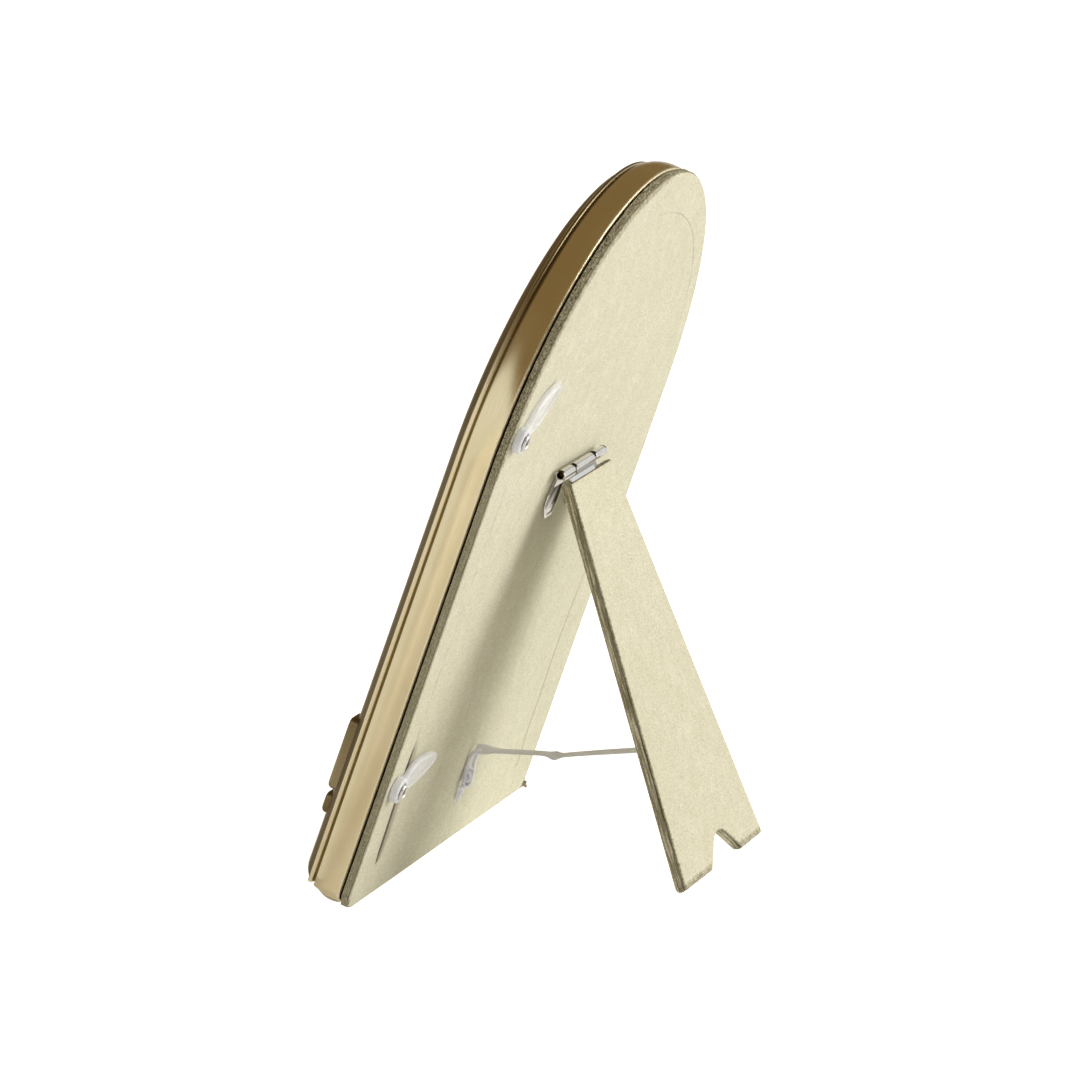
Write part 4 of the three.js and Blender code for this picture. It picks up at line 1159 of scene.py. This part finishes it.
def knuckle(left, right, seam, top):
    """A rolled tube about the pin: a wall with a seam line, round ends, and painted shade in the bore, along
    the seam and on top near the ends.
    """
    profile = round_corners([[BORE, left], [KNUCKLE, left], [KNUCKLE, left + 0.5], [KNUCKLE, left + 0.9],
                             [KNUCKLE, right - 0.9], [KNUCKLE, right - 0.5], [KNUCKLE, right], [BORE, right]],
                            0.14, 5)
    angle = np.linspace(0, 2 * np.pi, 72, endpoint=False)
    seam_away = np.abs((angle - seam + np.pi) % (2 * np.pi) - np.pi)
    seam_line = ease(profile[:, :1], 0.9, 1.15) * bell(seam_away, 0, 0.16)
    radius = profile[:, :1] - 0.25 * seam_line
    points = np.stack([profile[:, 1:] + 0 * angle, radius * np.cos(angle), radius * np.sin(angle)], -1)
    half_long = (right - left) / 2
    near_end = ease(np.abs(profile[:, 1:] - (left + right) / 2), half_long - 0.95, half_long - 0.4)
    upper = near_end * ease(np.cos(angle - top), 0.55, 0.9)
    inside = 1 - ease(profile[:, :1], 0.8, 1.1)
    return points, np.maximum(np.maximum(inside, seam_line), upper)


fixed_shells = []
for left, right in [(OUTER_START, OUTER_END), (-OUTER_END, -OUTER_START)]:
    barrel, tarnish = knuckle(left, right, 5.7, 1.75)
    fixed_shells.append(ring_shell(barrel + AXIS, place_on_frame, tarnish=tarnish))
barrel, tarnish = knuckle(-MIDDLE_END, MIDDLE_END, 1.2, -0.7)
moving_shells = [ring_shell(barrel, place_on_strut, tarnish=tarnish)]
print("knuckles", 2 * KNUCKLE, "mm across")

# %% Legs, straps and bars
LEAF_FOOT = BACK + GLUE
SHEET_ROUND = 0.12


def across_rows(section, left, right, margin):
    """Carries a section of (out, up) from left to right, with one more row a margin inside each end."""
    across = np.array([left, left + margin, right - margin, right])[:, None]
    return np.stack([across + 0 * section[:, 0], section[:, 0] + 0 * across, section[:, 1] + 0 * across], -1)


def leg_points(side):
    """A pointed leg: outline of a picket, with a rolled rim and a pressed floor darkened as painted shade."""
    outline = np.array([[11.5, 99.7], [13.5, 94.6], [13.3, 92.0], [10.0, 88.5], [5.2, 88.6], [3.9, 92.4],
                        [3.9, 99.7]])
    outline = round_corners(outline * [side, 1], [0.3, 1.5, 1.2, 0.6, 0.8, 1.2, 0.3], 9)
    levels = [(0.06, LEAF_FOOT), (0.0, LEAF_FOOT + 0.15), (0.02, LEAF_FOOT + 0.4), (0.16, LEAF_FOOT + 0.52),
              (0.5, LEAF_FOOT + 0.58), (0.82, LEAF_FOOT + 0.5), (1.0, LEAF_FOOT + 0.3),
              (1.25, LEAF_FOOT + 0.18), (2.0, LEAF_FOOT + 0.18)]
    points = stacked_outline(outline, levels)
    # Painted shade: the pressed floor of the leg is darkened
    painted_floor_shade = np.array([0, 0, 0, 0, 0, 0.2, 0.8, 1, 1])[:, None]
    return points, painted_floor_shade * ease(points[..., 2], 90.6, 92.2)


def strap_points(left, right):
    """The sheet between a leg and its knuckle: a bent section carried along the width."""
    section = np.array([[LEAF_FOOT, 98.4], [LEAF_FOOT, 99.8], [AXIS_OUT - 1.18, AXIS_UP + 0.1],
                        [AXIS_OUT - 0.72, AXIS_UP + 0.1], [LEAF_FOOT + 0.5, 99.6], [LEAF_FOOT + 0.5, 98.4]])
    return across_rows(round_corners(section, SHEET_ROUND, 4), left, right, 0.1)


def beam_points(low, high):
    """A straight bar between two corners, its long edges rounded."""
    corners = [[low[1], low[2]], [high[1], low[2]], [high[1], high[2]], [low[1], high[2]]]
    return across_rows(round_corners(corners, SHEET_ROUND, 4), low[0], high[0], 0.08)


print("leaf lies", round(LEAF_FOOT, 2), "mm out of the board")

# %% Leaf on the back
for side in (1, -1):
    strap_ends = sorted([side * 7.4, side * 11.8])
    prong_ends = sorted([side * 6.95, side * 8.55])
    leg, painted_floor_shade = leg_points(side)
    prong = beam_points([prong_ends[0], -1.4, 91.05], [prong_ends[1], 0.8, 91.55])
    fixed_shells += [capped_shell(leg, place_on_frame, tarnish=painted_floor_shade),
                     capped_shell(strap_points(*strap_ends), place_on_frame),
                     capped_shell(prong, place_on_frame)]
bridge = beam_points([-11.7, BACK + 0.12, 96.8], [11.7, BACK + 0.58, 99.5])
fixed_shells.append(capped_shell(bridge, place_on_frame))
fixed_leaf = make_piece("hinge_leaf_on_back", fixed_shells, nickel_finish, sharp=45)
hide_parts("hinge_fixed_leaf")
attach(fixed_leaf, "frame")

# %% Pin and leaf on the strut
PIN_RADIUS = 0.6
PIN_HALF = 14.6
pin_profile = round_corners([[0.0, -PIN_HALF], [PIN_RADIUS, -PIN_HALF], [PIN_RADIUS, PIN_HALF],
                             [0.0, PIN_HALF]], 0.16, 5)
pin_points = lathe(pin_profile, 32)[..., [1, 0, 2]] + AXIS
# Painted shade: the pin, seen only in the open ends of the knuckles, is darkened all over
hinge_pin = make_piece("hinge_pin_nickel", [capped_shell(pin_points, place_on_frame, tarnish=1.0)],
                       nickel_finish, sharp=45)
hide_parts("hinge_pin")
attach(hinge_pin, "frame")

tongue = beam_points([-MIDDLE_END, 0.5, 0.2], [MIDDLE_END, 0.85, 2.9])
step = beam_points([-4.0, 0.72, 1.5], [12.6, 1.2, 3.4])
plate = beam_points([-13.5, 0.72, 2.9], [13.5, 1.2, 14.0])
# Painted shade: the tongue under the middle knuckle is darkened
moving_shells += [capped_shell(tongue, place_on_strut, tarnish=0.6), capped_shell(step, place_on_strut),
                  capped_shell(plate, place_on_strut)]
moving_leaf = make_piece("hinge_leaf_on_strut", moving_shells, nickel_finish, sharp=45)
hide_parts("hinge_moving_leaf")
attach(moving_leaf, "strut")

# %% [markdown]
# The strut.
# The strut is the same greyboard between two flock skins. Its long edges were sawn, so they are dark and
# layered, and its foot, which rubs on the table, is frayed. The outline is drawn once as a closed line with
# the notch and the round corners, and carried through the thickness with a ragged noise.

# %% Strut outline
STRUT_LONG = 98.79
STRUT_TOP = 2.4
STRUT_TOP_HALF = 15.1
STRUT_FOOT_HALF = 29.4
FOOT_ROUND = 1.2
NOTCH_ASIDE = -2.4
NOTCH_HALF = 11.4
NOTCH_SHOULDER = 4.6
NOTCH_RISE = 7.0
OUTLINE_STEP = 0.16


def strut_outline(trim):
    """The closed outline, evenly spaced: straight sides, round foot corners and a notch with a round top.

    The trim draws the whole outline in.
    """
    low = STRUT_LONG - trim
    foot = STRUT_FOOT_HALF - trim
    top = STRUT_TOP_HALF - trim
    notch = NOTCH_HALF + trim
    shoulder = NOTCH_SHOULDER + trim
    t = np.linspace(0, 1, 12)[:, None]

    def curve(a, b, c):
        """A curve from a to c that leaves and arrives towards b."""
        return (1 - t) ** 2 * np.array(a) + 2 * t * (1 - t) * np.array(b) + t ** 2 * np.array(c)

    slope = (foot - top) / (STRUT_LONG - STRUT_TOP)
    apex = low - NOTCH_RISE
    wall = low - 0.76 * NOTCH_RISE
    hollow = np.concatenate([curve([0, apex], [shoulder * 0.55, apex], [shoulder, wall]), [[notch, low]]])
    side_end = [foot - FOOT_ROUND * slope, low - FOOT_ROUND]
    leg = np.concatenate([curve([foot - FOOT_ROUND, low], [foot, low], side_end), [[top, STRUT_TOP + trim]]])
    aside = [NOTCH_ASIDE, 0]
    outline = np.concatenate([hollow + aside, leg, leg[::-1] * [-1, 1],
                              (hollow[::-1] * [-1, 1] + aside)[:-1]])
    ring = np.concatenate([outline, outline[:1]])
    reach = run_along(ring)
    even = np.linspace(0, reach[-1], int(reach[-1] / OUTLINE_STEP), endpoint=False)
    return np.stack([np.interp(even, reach, ring[:, 0]), np.interp(even, reach, ring[:, 1])], -1), even


outline, reach = strut_outline(0.0)
print("strut outline", round(float(reach[-1]), 1), "mm round")

# %% Strut board with ragged edges
STRUT_FRONT = -0.5
STRUT_CORE = 1.7
STRUT_PLIES = 14
STRUT_MIDDLE = np.array([0, 60.0])
ahead = np.roll(outline, -1, axis=0) - np.roll(outline, 1, axis=0)
inward = np.stack([-ahead[:, 1], ahead[:, 0]], -1) / np.hypot(*ahead.T)[:, None]
inward *= np.sign((inward * (STRUT_MIDDLE - outline)).sum(1).mean())
ply_share = np.linspace(0, 1, STRUT_PLIES)
out = STRUT_FRONT + STRUT_CORE * ply_share
run = reach[:, None]
at_foot = ease(outline[:, 1], 88.0, 96.0)
rough_edge = ragged_noise(run + 0 * out, out + 0 * run, 7, 2.2, 5.0)
fine_edge = ragged_noise(run + 0 * out, out + 0 * run, 8, 6.0, 8.0)
bite = (0.05 + 0.08 * at_foot)[:, None] * np.maximum(rough_edge + 0.8, 0) + 0.03 * np.maximum(fine_edge, 0)
edge_in = bite + 0.3 * bell(ply_share, 0.93, 0.07)
edge = outline[:, None] + inward[:, None] * edge_in[..., None]
board_rows = np.stack([edge[..., 0], out + 0 * edge_in, edge[..., 1]], -1).transpose(1, 0, 2)
# Painted shade: a dark line along the groove beside the strut's rear flock
shade = 0.85 * bell(ply_share, 0.95, 0.07)
strut_board = make_piece("strut_greyboard", [capped_shell(
    board_rows, place_on_strut, torn=0.0, sawn=1.0, layer=out[:, None], along=reach, shade=shade[:, None])],
    board_finish, sharp=60)
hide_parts("strut_board")
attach(strut_board, "strut")

# %% Strut flock skins
SKIN_TRIM = 0.3
SKIN_SOFT = 0.26


def skin_rows(glued, face):
    """A thin skin: outline rows from its glued side round a soft edge to a flat face, each drawn in."""
    sign = 1 if face > glued else -1
    turn = np.linspace(0, np.pi / 2, 6)
    trims = np.concatenate([[0.32], SKIN_TRIM + SKIN_SOFT * (1 - np.cos(turn)), [1.0, 1.6, 2.6]])
    heights = np.concatenate([[glued], face - sign * SKIN_SOFT * (1 - np.sin(turn)), [face] * 3])
    count = len(strut_outline(SKIN_TRIM)[1])
    pick = np.linspace(0, 1, count, endpoint=False)
    lines = []
    for trim in trims:
        line, even = strut_outline(trim)
        whole = even[-1] + even[1]
        share = np.append(even, whole) / whole
        ring = np.concatenate([line, line[:1]])
        lines.append(np.stack([np.interp(pick, share, ring[:, 0]), np.interp(pick, share, ring[:, 1])], -1))
    lines = np.array(lines)
    return np.stack([lines[..., 0], heights[:, None] + 0 * lines[..., 0], lines[..., 1]], -1)


# Painted shade on the skin's soft edge, drawn as flock worn off to the board, on each row from the glued side
# to the middle of the face
painted_edge_shade = np.array([0.8, 0.8, 0.72, 0.62, 0.52, 0.44, 0.36, 0.12, 0.0, 0.0])[:, None]
for skin_name, node_name, glued, face in [("strut_flock_outside", "strut_flock_rear", 1.25, 1.7),
                                          ("strut_flock_inside", "strut_flock_front", -0.55, -1.0)]:
    points = skin_rows(glued, face)
    fray = 0.9 * ease(points[..., 2], STRUT_LONG - 3.2, STRUT_LONG - 0.7)
    fray[-1] = 0
    skin = make_piece(skin_name, [capped_shell(points, place_on_strut, worn=np.maximum(fray, painted_edge_shade))],
                      cream_flock, sharp=70)
    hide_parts(node_name)
    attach(skin, "strut")

# %% [markdown]
# Floor and light.
# The frame stands on a plain white sheet. A wide soft sun from behind the frame lights the back and lays the
# strut's soft shadow on it. Three weaker lamps, beside the frame, at the camera and before the front, open
# the shadows, and metal doesn't mirror them. Above and at the far side the studio is a dim warm room, which
# is what the gold of the arch reflects, while its straight sides reflect the floor, whose glow fades near
# one side.

# %% Floor
FLOOR_HALF = 8.0
DIM_SPOT = (0.15, -0.11, 0)
SEEN_GLOW = 0.88
floor_mesh = bpy.data.meshes.new("floor")
floor_mesh.from_pydata([(-FLOOR_HALF, -FLOOR_HALF, 0), (FLOOR_HALF, -FLOOR_HALF, 0),
                        (FLOOR_HALF, FLOOR_HALF, 0), (-FLOOR_HALF, FLOOR_HALF, 0)], [], [(0, 1, 2, 3)])
floor_finish, tree, shader = new_finish("white sheet", (0.8, 0.8, 0.8, 1), 0.9)
shader.inputs["Emission Color"].default_value = (1, 1, 1, 1)
spot = object_place(tree)
spot_parts = add_node(tree, "ShaderNodeSeparateXYZ", {0: spot}).outputs
# The glow fades towards a dim spot beside the frame and ahead of it, and grows behind and under the frame
from_dim = add_node(tree, "ShaderNodeVectorMath", {0: spot, 1: DIM_SPOT}, operation="DISTANCE")
glow = value_range(tree, from_dim.outputs["Value"], 0.0, 0.36, 0.0, 0.41)
ahead_of_frame = math_node(tree, "ADD", spot_parts["Y"], math_node(tree, "MULTIPLY", spot_parts["X"], 0.6))
glow = math_node(tree, "MULTIPLY", glow, value_range(tree, ahead_of_frame, -0.2, -0.02, 0.35, 1.0))
glow = math_node(tree, "ADD", glow, value_range(tree, spot_parts["Y"], -0.01, 0.07, 0.0, 0.08))
from_frame = add_node(tree, "ShaderNodeVectorMath", {0: spot, 1: (0, 0, 0)}, operation="DISTANCE")
glow = math_node(tree, "ADD", glow, value_range(tree, from_frame.outputs["Value"], 0.03, 0.15, 0.13, 0.0))
in_view = add_node(tree, "ShaderNodeLightPath").outputs["Is Camera Ray"]
glow = math_node(tree, "MAXIMUM", glow, math_node(tree, "MULTIPLY", in_view, SEEN_GLOW))
tree.links.new(glow, shader.inputs["Emission Strength"])
floor_mesh.materials.append(floor_finish)
floor = bpy.data.objects.new("floor", floor_mesh)
bpy.context.scene.collection.objects.link(floor)
print("floor", 2 * FLOOR_HALF, "m wide")

# %% Lamps


def add_sun(name, energy, angle, comes_from, shines):
    """A far lamp whose light is as soft as its angle is wide, and which metal mirrors only if it shines."""
    data = bpy.data.lights.new(name, "SUN")
    data.energy = energy
    data.angle = math.radians(angle)
    data.color = (1.0, 0.99, 0.97)
    lamp = bpy.data.objects.new(name, data)
    lamp.rotation_euler = Vector(comes_from).normalized().to_track_quat("Z", "Y").to_euler()
    lamp.visible_glossy = shines
    bpy.context.scene.collection.objects.link(lamp)


add_sun("soft_sun", energy=2.15, angle=42, comes_from=(-0.31, 0.8, 0.3), shines=True)
add_sun("window_beside", energy=0.4, angle=60, comes_from=(-0.75, 0.55, 0.25), shines=False)
add_sun("fill_from_camera", energy=0.45, angle=90, comes_from=(0.9, 0.3, 0.25), shines=False)
add_sun("fill_on_front", energy=0.9, angle=50, comes_from=(-0.2, -0.95, 0.08), shines=False)
print("lamps", len(bpy.data.lights))

# %% Studio room
BRIGHT_ROOM = (0.82, 0.82, 0.82, 1)
DIM_ROOM = (0.215, 0.15, 0.075, 1)
world = bpy.data.worlds.new("studio")
world.use_nodes = True
tree = world.node_tree
direction = add_node(tree, "ShaderNodeTexCoord").outputs["Generated"]
looking = add_node(tree, "ShaderNodeSeparateXYZ", {0: direction}).outputs
beside = math_node(tree, "MULTIPLY", looking[1], math_node(tree, "MAXIMUM", looking[0], 0.0))
seen_height = math_node(tree, "ADD", looking[2], math_node(tree, "MULTIPLY", beside, 0.8))
# The room is dim above a slanting height, and almost down to the floor at the far side ahead of the frame
wall = value_range(tree, seen_height, 0.26, 0.4, 0.0, 1.0)
far_side = value_range(tree, looking[0], 0.0, -0.3, 0.0, 1.0)
ahead_side = value_range(tree, looking[1], 0.2, 0.05, 0.0, 1.0)
above = value_range(tree, looking[2], 0.02, 0.1, 0.0, 1.0)
far_dark = math_node(tree, "MULTIPLY", math_node(tree, "MULTIPLY", far_side, ahead_side), above)
dark = math_node(tree, "MAXIMUM", wall, far_dark)
room = mix_colour(tree, dark, BRIGHT_ROOM, DIM_ROOM)
in_view = add_node(tree, "ShaderNodeLightPath").outputs["Is Camera Ray"]
room = mix_colour(tree, in_view, room, (1, 1, 1, 1))
tree.links.new(room, tree.nodes["Background"].inputs["Color"])
tree.nodes["Background"].inputs["Strength"].default_value = 1.0
bpy.context.scene.world = world
bpy.context.scene.view_settings.view_transform = "Standard"
print("stage ready")

# %% [markdown]
# Last step.
# Dressing a part must not change its size. Here the scene is brought up to date.

# %% Bring the scene up to date
bpy.context.view_layer.update()
